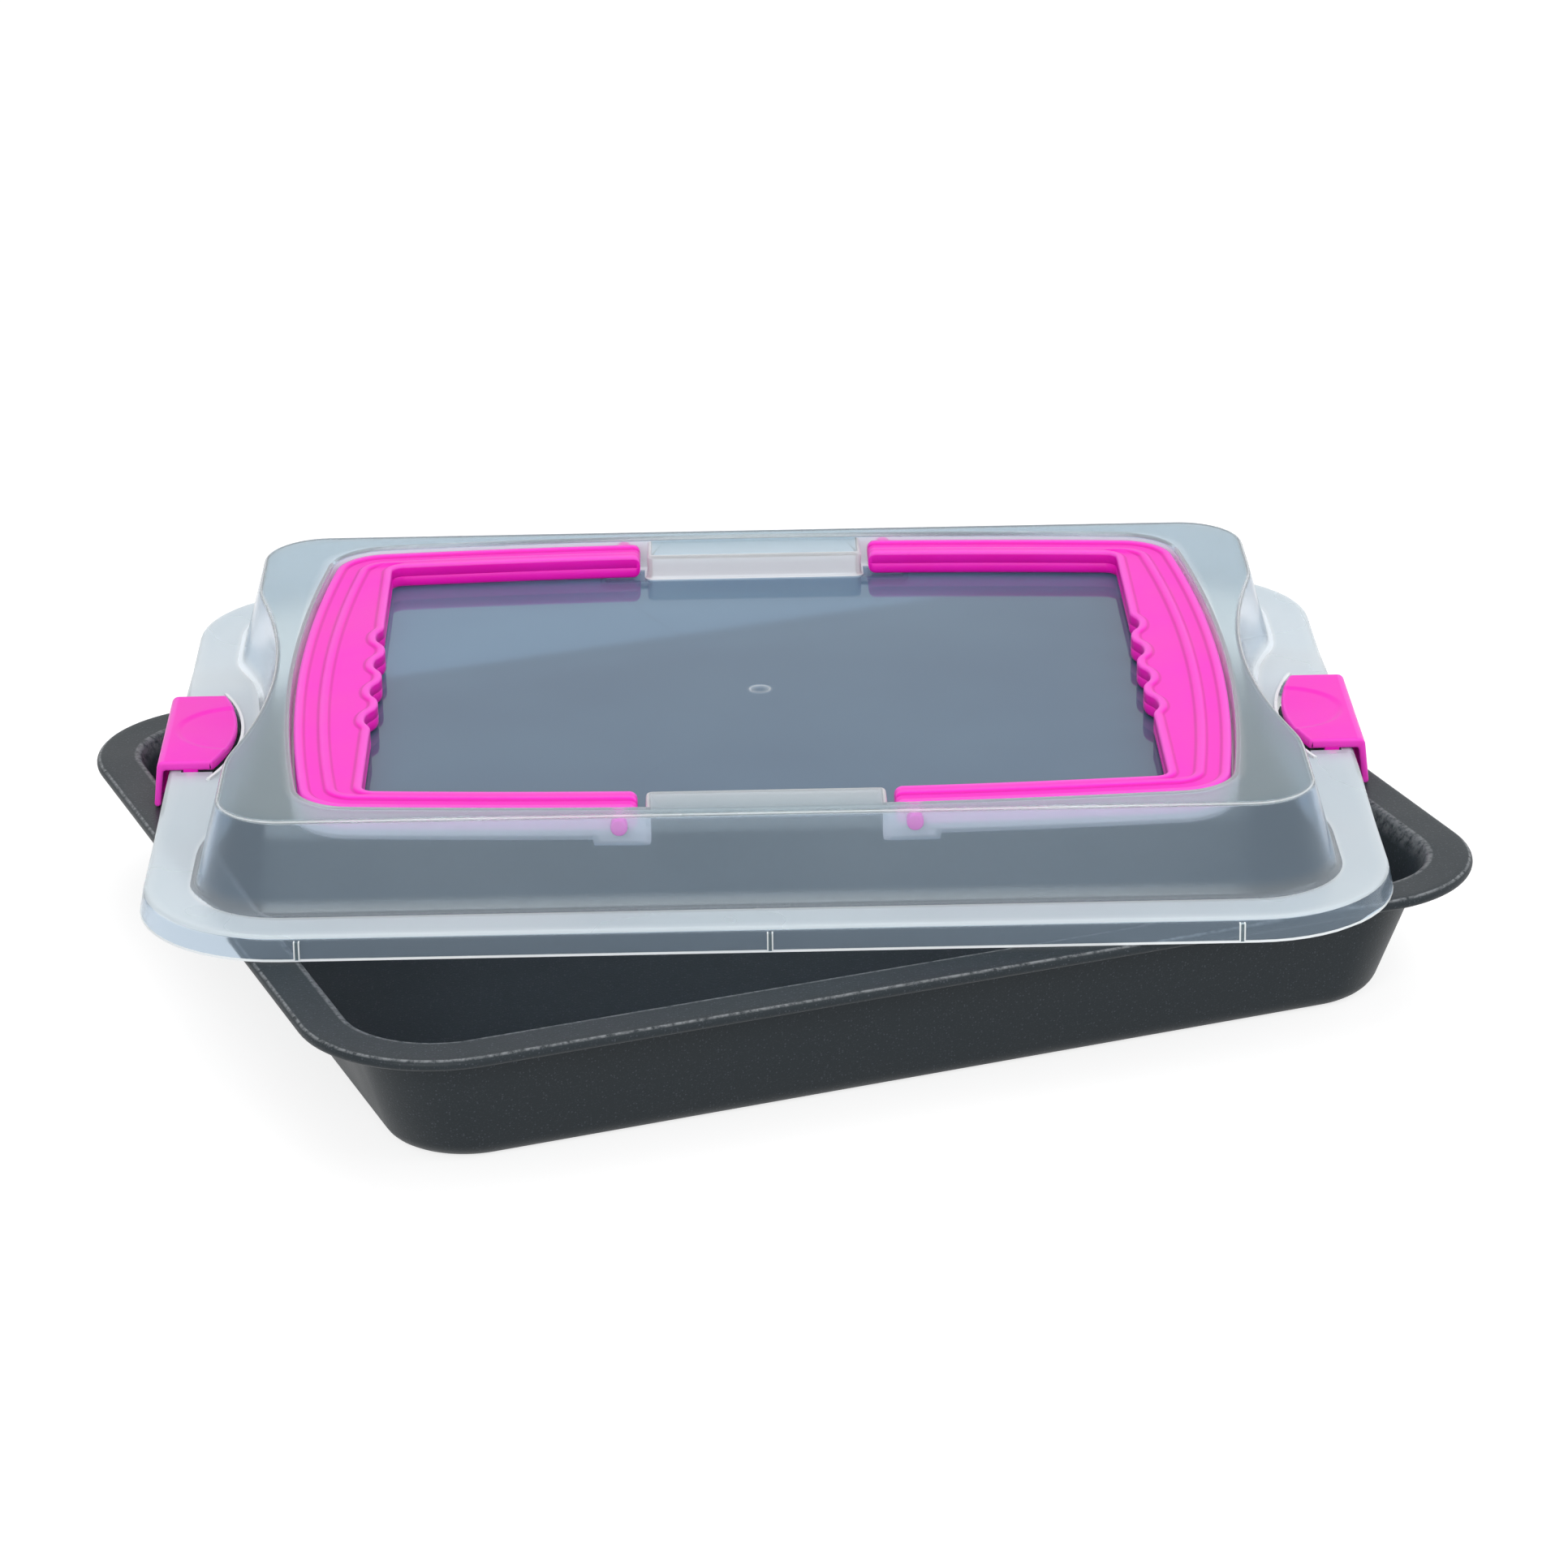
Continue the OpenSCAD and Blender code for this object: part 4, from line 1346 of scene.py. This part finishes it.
    def tool(self, name: str, outline: list[Point], low: float, high: float) -> bpy.types.Object:
        """Makes a solid of upright prisms over an outline at both ends of the lid."""
        shape = Shape(name)
        for side in Side:
            shape.prism([(side.value * x, y) for x, y in outline], low, high)
        return shape.finish(shifted(self.place))

    def build(self, plastics: dict[Plastic, bpy.types.Material]) -> bpy.types.Object:
        """Makes the lid's mesh.

        Args:
            plastics: Its finishes.

        Returns:
            The lid.
        """
        shape = Shape("carrying_lid")
        lower = []
        for depth in (0.0, self.wall):
            lines = self.skin(depth)
            made = [shape.ring(points, edge) for points, edge, _ in lines]
            for low, high, (_, _, finish) in zip(made, made[1:], lines):
                shape.strip(low, high, finish.value)
            shape.fan(made[-1], Plastic.CLEAR.value)
            lower.append(made[0])
        # The skirt's bottom face takes the near-white copy: a painted highlight.
        shape.strip(*lower, Plastic.BRIGHT.value)
        lid = shape.finish(shifted(self.place), self.sharp)
        dress(lid, *(plastics[kind] for kind in Plastic))
        deck = self.skirt + self.stage
        # Name, outline, lower and upper level, and what the solid does to the lid.
        for name, outline, low, high, operation in (
                ("frames", self.window_outline(self.wall), deck - 5.4, deck - 0.8, "UNION"),
                ("lips", self.lip_outline(), deck - 0.6, deck + 0.8, "UNION"),
                ("windows", self.window_outline(0.0), deck - 6.0, deck + 1.4, "DIFFERENCE"),
                ("hook_slots", self.slot_outline(), -0.6, 5.4, "DIFFERENCE")):
            tool = self.tool(name, outline, low, high)
            # The lips take the near-white copy: a painted sheen round the windows.
            dress(tool, plastics[Plastic.BRIGHT if name == "lips" else Plastic.FROSTED])
            cut_or_join(lid, tool, operation)
        tree = self.rib_tree()
        # The raised lines along the ribs take the near-white copy: painted highlights.
        for kind, bars, width, out in (
                (Plastic.FROSTED, 1, self.rib_width, self.rib_out),
                (Plastic.BRIGHT, 2, self.rib_line, self.rib_out + self.rib_line_out)):
            cut_or_join(lid, self.ribs(tree, plastics[kind], bars, width, out), "UNION")
        work = bmesh.new()
        work.from_mesh(lid.data)
        mark_sharp(work, self.sharp)
        work.to_mesh(lid.data)
        work.free()
        return lid

    def make(self, plastics: dict[Plastic, bpy.types.Material]) -> None:
        """Builds the lid and ties it to the frame."""
        hand_over(self.build(plastics), "base", "lid")


# ---- handles


@dataclass
class LidPart:
    """A piece that turns on the lid, at its left or right. Sizes in millimetres from the lid."""

    side: Side
    place: Place = LID_PLACE
    title: ClassVar[str]
    node: ClassVar[str]
    sharp: ClassVar[float]

    def sweep(self, columns: list[tuple[Ring, list[float]]]) -> Shape:
        """Joins cross sections, each with its edge values, into a closed bar."""
        shape = Shape(f"{self.side.name.lower()}_{self.title}")
        loops = [shape.ring(points, edges) for points, edges in columns]
        shape.loft(loops)
        shape.cap(loops[0])
        shape.cap(loops[-1])
        return shape

    def build(self) -> Shape:
        """Makes the mesh of the right-hand piece."""
        raise NotImplementedError

    def make(self, plastic: bpy.types.Material) -> None:
        """Builds and dresses the piece and ties it to the frame."""
        obj = self.build().finish(shifted(self.place, self.side.value), self.sharp)
        dress(obj, plastic)
        name = f"{self.side.name.lower()}_{self.node}"
        hand_over(obj, name, name)


@dataclass
class Handle(LidPart):
    """One folding handle with finger seats."""

    title = "carry_handle"
    node = "handle"
    sharp = 45.0
    grip_x: float = 149.8
    grip_width: float = 25.7
    arm_y: float = 123.4
    arm_width: float = 13.8
    end_bow: float = 798.8
    side_bow: float = 1497.4
    corner: float = 17.8
    inner_corner: float = 4.5
    arm_end: float = 39.3
    pin_x: float = 44.9
    pin_radius: float = 2.6
    pin_end: float = 130.5
    pin_root: float = 1.5
    bottom: float = 26.3
    thick: float = 7.7
    tail_radius: float = 2.6
    fingers: int = 4
    pitch: float = 25.0
    crest: float = 1.5
    wave: float = 3.2
    seat_y: float = -3.5
    seat_round: float = 1.1
    ridge: float = 2.8
    groove: float = 5.2
    sunk: float = 0.8
    edge_radius: float = 0.9
    parting: float = 0.14
    slim: float = 14.4
    widening: float = 4.0
    # A step into the groove: distance past it, drop in millimetres, drop as a share of the
    # groove's depth, and edge value.
    # Positive edge values paint a highlight on the step's rim, negative ones paint shade in the
    # groove.
    STEP: ClassVar[tuple] = ((-0.8, 0.0, 0.0, 0.5), (-0.35, 0.12, 0.0, 0.4), (0.1, 0.0, 0.8, -0.7),
                             (0.5, 0.0, 1.0, -0.8), (1.1, 0.0, 1.0, 0.0))
    # Here too positive edge values paint highlights and negative ones paint shade in the creases.
    # The lowered strip behind the finger seats: the edge it is measured from, the distance where
    # the handle is slim and where it is wide, the two drops and the edge value.
    LEDGE: ClassVar[tuple] = (
        ("outer", 9.8, -0.8, 0.0, 0.0, 0.3), ("outer", 9.9, -0.3, 0.15, 0.0, 0.2),
        ("outer", 10.0, 0.1, 0.0, 0.8, -0.7), ("outer", 10.1, 0.5, 0.0, 1.0, -0.8),
        ("outer", 10.2, 1.1, 0.0, 1.0, 0.0), ("inner", 3.1, 3.9, 0.0, 1.0, 0.0),
        ("inner", 3.0, 3.3, 0.0, 1.0, -0.8), ("inner", 2.85, 2.85, 0.0, 0.8, -0.7),
        ("inner", 2.4, 2.4, 0.12, 0.0, 0.3), ("inner", 1.9, 1.9, 0.0, 0.0, 0.5))

    def arm_shares(self) -> list[float]:
        """Shares along an arm, closer together at its end."""
        close = [0.0, 0.003, 0.007, 0.012, 0.018, 0.024, 0.03]
        return close + [0.03 + 0.97 * i / 16 for i in range(1, 16)]

    def grip_levels(self, top: float) -> list[float]:
        """Y of the columns along the grip, close together at the finger seats."""
        half = self.fingers * self.pitch / 2
        high, low = half + self.seat_y, self.seat_y - half
        steps = self.fingers * 28
        levels = [mix(top, high, i / 10) for i in range(10)]
        levels += [mix(high, low, i / steps) for i in range(steps + 1)]
        return levels + [mix(low, -top, i / 10) for i in range(1, 11)]

    def bowed_end(self, centre: Point, radius: float, side: float, by: float, stop: float,
                  start: float) -> list[Point]:
        """Points of the rear arm's edge and of the corner that follows it.

        Args:
            centre: Centre of the corner.
            radius: Radius of the corner.
            side: Radius of the arm's bow.
            by: Y of the bow's centre.
            stop: Angle at which the corner leaves the arm.
            start: Angle at which the corner meets the grip.

        Returns:
            Points from the arm's end to the grip.
        """
        cx, cy = centre
        far_x = cx + radius * math.cos(stop)
        points = []
        for share in self.arm_shares():
            x = mix(self.arm_end, far_x, share)
            points.append((x, by + math.sqrt(side * side - x * x)))
        return points + [on_arc(cx, cy, radius, mix(stop, start, i / 12)) for i in range(12)]

    def outer_line(self, inset: float) -> list[Point]:
        """Outer edge from the rear arm's end to the front arm's end, shrunk by inset."""
        half_x, half_y = self.grip_x - inset, self.arm_y - inset
        end, side, radius = self.end_bow - inset, self.side_bow - inset, self.corner - inset
        ax, by = half_x - end, half_y - side
        cx, cy = bowed_corner(half_x, half_y, end, side, radius)
        start, stop = math.atan2(cy, cx - ax), math.atan2(cy - by, cx)
        rear = self.bowed_end((cx, cy), radius, side, by, stop, start)
        top_y, inner_top = end * math.sin(start), self.inner_corner_centre()[1]
        grip = []
        for level in self.grip_levels(inner_top):
            y = top_y * level / inner_top
            grip.append((ax + math.sqrt(end * end - y * y), y))
        return rear + grip + [(x, -y) for x, y in reversed(rear)]

    def inner_corner_centre(self) -> Point:
        """Centre of the inner edge's rear corner."""
        cx = self.grip_x - self.grip_width - self.inner_corner
        side = self.side_bow - self.arm_width - self.inner_corner
        return cx, self.arm_y - self.side_bow + math.sqrt(side * side - cx * cx)

    def seat_wave(self, y: float) -> float:
        """How far the inner edge stands from its straight line at a place along the grip."""
        half = self.fingers * self.pitch / 2
        y -= self.seat_y
        if abs(y) >= half:
            return 0.0
        swing = math.tanh(self.seat_round * math.cos(2 * math.pi * (half - y) / self.pitch))
        seats = self.wave * (1 - swing / math.tanh(self.seat_round)) / 2
        return seats - self.crest * (1 - (y / half) ** 4)

    def inner_line(self, grow: float) -> list[Point]:
        """Inner edge from the rear arm's end to the front arm's end, moved in by grow."""
        cx, cy = self.inner_corner_centre()
        by = self.arm_y - self.side_bow
        side = self.side_bow - self.arm_width + grow
        rear = self.bowed_end((cx, cy), self.inner_corner + grow, side, by,
                              math.atan2(cy - by, cx), 0.0)
        step, grip = 0.05, []
        for y in self.grip_levels(cy):
            slope = (self.seat_wave(y + step) - self.seat_wave(y - step)) / (2 * step)
            run = math.hypot(1.0, slope)
            x = self.grip_x - self.grip_width + self.seat_wave(y)
            grip.append((x + grow / run, y - grow * slope / run))
        return rear + grip + [(x, -y) for x, y in reversed(rear)]

    def section(self, width: float) -> list[tuple[str, float, float, float]]:
        """Cross section of the handle.

        Args:
            width: Width of the handle there.

        Returns:
            Points as the edge that they are measured from, the distance, the height and the edge
            value, from the outer edge's foot over the top to the inner edge's foot.
        """
        t, r = self.thick, self.edge_radius
        wide = ease((width - self.slim) / self.widening)
        far = self.ridge + self.groove
        flank = [(1.0, 0.0, 0.0), (0.3, 0.3, 0.0), (0.0, 1.0, 0.0), (0.0, t * 0.47, 0.0),
                 (self.parting, t * 0.49, 0.0), (0.0, t * 0.51, 0.0), (0.0, t - 1.0, 0.0)]
        # The rounded top edge carries edge value 0.8: a painted highlight.
        flank += [(r - r * math.cos(a), t - r + r * math.sin(a), 0.8) for a in arc_steps(20, 90, 3)]

        def step(place: float, way: int) -> list[tuple[float, float, float]]:
            """Points of a step down into the groove, or back up for way -1."""
            points = [(place + way * along, t - drop - share * self.sunk, edge)
                      for along, drop, share, edge in self.STEP]
            return points[::way]

        outer = flank + step(self.ridge, 1) + step(far, -1)
        points = [("outer", *point) for point in outer]
        for kind, slim, broad, drop, share, edge in self.LEDGE:
            broad += far + self.ridge if kind == "outer" else 0.0
            points.append((kind, mix(slim, broad, wide), t - wide * (drop + share * self.sunk),
                           edge * wide if edge < 0 else edge))
        return points + [("inner", *point) for point in flank[::-1]]

    def squeeze(self, x: float, z: float) -> float:
        """Rounds the upper and lower corners of an arm's end in side view."""
        near = min(self.tail_radius, x - self.arm_end)
        half = self.thick / 2
        tall = half - self.tail_radius + math.sqrt(
            max(0.0, self.tail_radius ** 2 - (self.tail_radius - near) ** 2))
        return half + (z - half) * max(tall, 0.2) / half

    def build(self) -> Shape:
        """Makes the mesh of the right handle."""
        cache: dict[tuple[str, float], list[Point]] = {}

        def line(kind: str, inset: float) -> list[Point]:
            """Line parallel to the outer or inner edge."""
            key = (kind, round(inset, 3))
            if key not in cache:
                cache[key] = (self.outer_line if kind == "outer" else self.inner_line)(inset)
            return cache[key]

        columns = []
        for k, ends in enumerate(zip(self.inner_line(0.0), self.outer_line(0.0))):
            ring, edges = [], []
            for kind, inset, z, edge in self.section(math.dist(*ends)):
                x, y = line(kind, inset)[k]
                ring.append((x, y, self.squeeze(x, z) + self.bottom))
                edges.append(edge)
            columns.append((ring, edges))
        shape = self.sweep(columns)
        root = self.arm_y - self.pin_root
        for way in (1, -1):
            start = (self.pin_x, way * root, self.bottom + self.thick / 2)
            shape.tube((0, way, 0), start, self.pin_radius, self.pin_end - root, 0.5)
        return shape


# ---- clips


@dataclass
class Clip(LidPart):
    """One clip with its thumb dish, leg, hook and pivot pins."""

    title = "lid_clip"
    node = "clip"
    sharp = 40.0
    width: float = 60.6
    inner_x: float = 170.8
    outer_x: float = 195.7
    end_radius: float = 85.0
    plate_low: float = 12.6
    plate: float = 3.1
    leg: float = 2.1
    foot: float = 0.3
    lean: float = 1.6
    top_radius: float = 2.2
    edge: float = 0.9
    dish_radius: float = 20.0
    dish_depth: float = 0.9
    dish_rim: float = 2.4
    pivot_x: float = 183.5
    pivot_z: float = 9.8
    pin_radius: float = 1.5
    lug_radius: float = 2.3
    hook_x: float = 189.4
    hook_half: float = 18.0
    hook_thick: float = 1.6
    pin_length: float = 2.6
    cut: float = 0.3
    bend: float = 1.0
    nose: float = 0.8

    @property
    def top(self) -> float:
        """Height of the plate's upper face."""
        return self.plate_low + self.plate

    def dish(self, x: float, y: float) -> float:
        """Depth of the thumb dish at a place on the plate."""
        far = math.hypot(x - self.inner_x, y)
        share = ease((self.dish_radius - far) / self.dish_rim)
        return self.dish_depth * share * (0.6 + 0.4 * ease(1 - far / self.dish_radius))

    def dish_shade_line(self, x: float, y: float) -> float:
        """Edge value of the painted shade line where the thumb dish begins."""
        far = abs(math.hypot(x - self.inner_x, y) - self.dish_radius + self.dish_rim * 0.7)
        return -0.55 * max(0.0, 1 - far / 1.2)

    def outline(self, y: float) -> list[tuple[float, float, float]]:
        """Side view of the clip's surface at one place across its width.

        Args:
            y: Distance from its middle.

        Returns:
            Points as X, Z and edge value: under the plate, round the leg, back over the top.
        """
        low, top = self.plate_low, self.top
        slope = self.lean / (top - self.foot)
        end_x = self.inner_x + self.end_radius - math.sqrt(self.end_radius ** 2 - y * y)
        bend_x = self.outer_x - self.leg - slope * (low - self.foot)
        near, far = end_x + self.cut, bend_x - self.bend
        half, nose, round_top = self.leg / 2, self.nose, self.top_radius
        mid_x, mid_z = self.outer_x - self.lean + slope * round_top - round_top, top - round_top
        points = [(mix(near, far, i / 8), low, 0.0) for i in range(9)]
        points += [(far + math.sin(a), low - self.bend + math.cos(a), 0.0)
                   for a in arc_steps(20, 90, 3)]
        points += [(*on_arc(self.outer_x - half, self.foot + half, half, a), 0.0)
                   for a in arc_steps(180, 360, 8)]
        # Edge values 0.5 paint highlights on the rounded top edge and on the nose.
        points += [(*on_arc(mid_x, mid_z, round_top, a), 0.5) for a in arc_steps(4, 90, 7)]
        points += [(mix(mid_x, end_x + nose, i / 40), top, 0.0) for i in range(1, 40)]
        points += [(end_x + nose - nose * math.sin(a), top - nose + nose * math.cos(a), 0.5)
                   for a in arc_steps(0, 90, 4)]
        return points + [(end_x, low + self.cut, 0.0)]

    def profile(self, y: float, inset: float) -> tuple[Ring, list[float]]:
        """Cross section of the clip at a distance inside its surface, and its edge values."""
        outline = self.outline(y)
        ring, edges = [], []
        for before, (x, z, edge), after in zip(outline[-1:] + outline, outline,
                                               outline[1:] + outline[:1]):
            run = Vector((after[0] - before[0], after[1] - before[1])).normalized()
            x, z = x - run.y * inset, z + run.x * inset
            if z > self.top - self.edge - inset:
                # The dish's rim gets a painted shade line.
                z, edge = z - self.dish(x, y), edge or self.dish_shade_line(x, y)
            ring.append((x, y, z))
            # The rounded side ends get a painted highlight of at least 0.6.
            edges.append(max(edge, 0.6 if inset > 0 else 0.0))
        return ring, edges

    def build(self) -> Shape:
        """Makes the mesh of the right clip."""
        half, rounding = self.width / 2, self.edge
        stations = [(-half + rounding - rounding * math.cos(a), rounding - rounding * math.sin(a))
                    for a in arc_steps(0, 90, 4)]
        ends = [(-y, inset) for y, inset in stations[::-1]]
        stations += [(mix(-half + rounding, half - rounding, i / 84), 0.0) for i in range(1, 84)]
        shape = self.sweep([self.profile(y, inset) for y, inset in stations + ends])
        shape.block((self.hook_x, -self.hook_half, self.foot),
                    (self.outer_x - self.leg / 2, self.hook_half, self.foot + self.hook_thick), 0.4)
        for way in (1, -1):
            axis, inner_y = (0, way, 0), way * (half - self.plate)
            start = (self.pivot_x, inner_y, self.pivot_z)
            shape.tube(axis, start, self.lug_radius, self.plate, 0.2)
            low_y, high_y = sorted((inner_y, way * half))
            shape.block((self.pivot_x - self.lug_radius, low_y, self.pivot_z),
                        (self.pivot_x + self.lug_radius, high_y, self.plate_low + 0.5), 0.0)
            start = (self.pivot_x, way * (half - 0.3), self.pivot_z)
            shape.tube(axis, start, self.pin_radius, self.pin_length, 0.3)
        return shape


# ---- studio


@dataclass(frozen=True)
class Lamp:
    """One soft rectangular lamp."""

    name: str
    place: Place
    aim: Place
    size: tuple[float, float]
    watts: float
    colour: tuple[float, float, float] = (1.0, 1.0, 1.0)

    def make(self) -> None:
        """Adds the lamp to the scene."""
        light = bpy.data.lights.new(self.name, "AREA")
        light.shape = "RECTANGLE"
        light.size, light.size_y = self.size
        light.energy = self.watts
        light.color = self.colour
        obj = bpy.data.objects.new(self.name, light)
        bpy.context.scene.collection.objects.link(obj)
        obj.location = self.place
        way = Vector(self.aim) - Vector(self.place)
        obj.rotation_euler = way.to_track_quat("-Z", "Y").to_euler()


@dataclass
class Studio:
    """Pale floor, world, lamps and camera."""

    ambient: float = 0.50
    floor_half: float = 6.0
    floor_colour: tuple = rgba(0.45, 0.45, 0.45)
    lift: float = 0.75
    focal: float = 6633.54685
    frame_pixels: float = 1932.0
    sensor: float = 36.0
    eye: Place = (-0.02068458, -1.60974632, 0.68575944)
    right: Place = (0.99968978, -0.0214645, -0.01263387)
    up: Place = (0.019627, 0.36662189, 0.93016298)
    ahead: Place = (0.01533363, 0.93012239, -0.36692944)

    def seen(self, graph: Graph) -> bpy.types.NodeSocket:
        """Gives 1 for camera, glossy and transmission rays."""
        path = graph.node("ShaderNodeLightPath").outputs
        first = graph.math("MAXIMUM", path["Is Camera Ray"], path["Is Glossy Ray"])
        return graph.math("MAXIMUM", first, path["Is Transmission Ray"])

    def world(self) -> None:
        """Sets the even light all round, and white where it is seen."""
        world = bpy.data.worlds.new("studio")
        world.use_nodes = True
        bpy.context.scene.world = world
        graph = Graph(world.node_tree)
        back = world.node_tree.nodes["Background"].inputs
        graph.feed(back["Color"], rgba(1.0, 1.0, 1.0))
        graph.feed(back["Strength"], graph.range(self.seen(graph), 0.0, 1.0, self.ambient, 1.0))

    def floor(self) -> None:
        """Lays the pale floor that keeps the shadow."""
        mesh = bpy.data.meshes.new("studio_floor")
        corners = [(x * self.floor_half, y * self.floor_half, 0)
                   for x, y in ((-1, -1), (1, -1), (1, 1), (-1, 1))]
        mesh.from_pydata(corners, [], [(0, 1, 2, 3)])
        obj = bpy.data.objects.new("studio_floor", mesh)
        bpy.context.scene.collection.objects.link(obj)
        material = bpy.data.materials.new("pale floor")
        material.use_nodes = True
        graph = Graph(material.node_tree)
        shader = material.node_tree.nodes["Principled BSDF"].inputs
        glow = graph.times(self.seen(graph), self.lift)
        for label, value in (("Base Color", self.floor_colour), ("Roughness", 0.9),
                             ("Specular IOR Level", 0.0), ("Emission Color", rgba(1.0, 1.0, 1.0)),
                             ("Emission Strength", glow)):
            graph.feed(shader[label], value)
        dress(obj, material)

    def lamps(self) -> None:
        """Hangs the soft lamps."""
        middle = (0.0, 0.03, 0.05)
        cool = (0.98, 0.99, 1.0)
        for lamp in (Lamp("overhead", (0.10, 0.35, 1.75), middle, (2.0, 1.6), 12.0, cool),
                     Lamp("right", (1.7, -0.4, 1.2), middle, (1.3, 1.1), 8.0),
                     Lamp("front", (-0.4, -2.0, 0.95), middle, (1.6, 1.0), 20.0)):
            lamp.make()

    def camera(self) -> None:
        """Places the camera at the photograph's view."""
        data = bpy.data.cameras.new("view")
        data.sensor_width = self.sensor
        data.sensor_fit = "HORIZONTAL"
        data.lens = self.focal / self.frame_pixels * self.sensor
        data.clip_start, data.clip_end = 0.05, 60.0
        obj = bpy.data.objects.new("view", data)
        bpy.context.scene.collection.objects.link(obj)
        right, up, ahead = Vector(self.right), Vector(self.up), Vector(self.ahead)
        turn = Matrix((right, up, -ahead)).transposed().to_4x4()
        obj.matrix_world = Matrix.Translation(self.eye) @ turn
        bpy.context.scene.camera = obj

    def make(self) -> None:
        """Sets up the whole studio."""
        self.world()
        self.floor()
        self.lamps()
        self.camera()
        bpy.context.scene.view_settings.view_transform = "Standard"
        LOG.info("studio ready")


def main() -> None:
    """Builds every piece in order."""
    logging.basicConfig(level=logging.INFO, format="%(message)s")
    shared = SharedEffects.build()
    coating = CoatingFinish().build(shared)
    grip = GripFinish().build(shared)
    plastics = {kind: finish.build(shared) for kind, finish in LID_FINISHES.items()}
    Pan().make(coating)
    Lid().make(plastics)
    for side in Side:
        Handle(side).make(grip)
        Clip(side).make(grip)
    Studio().make()
    bpy.context.view_layer.update()


if __name__ == "__main__":
    main()
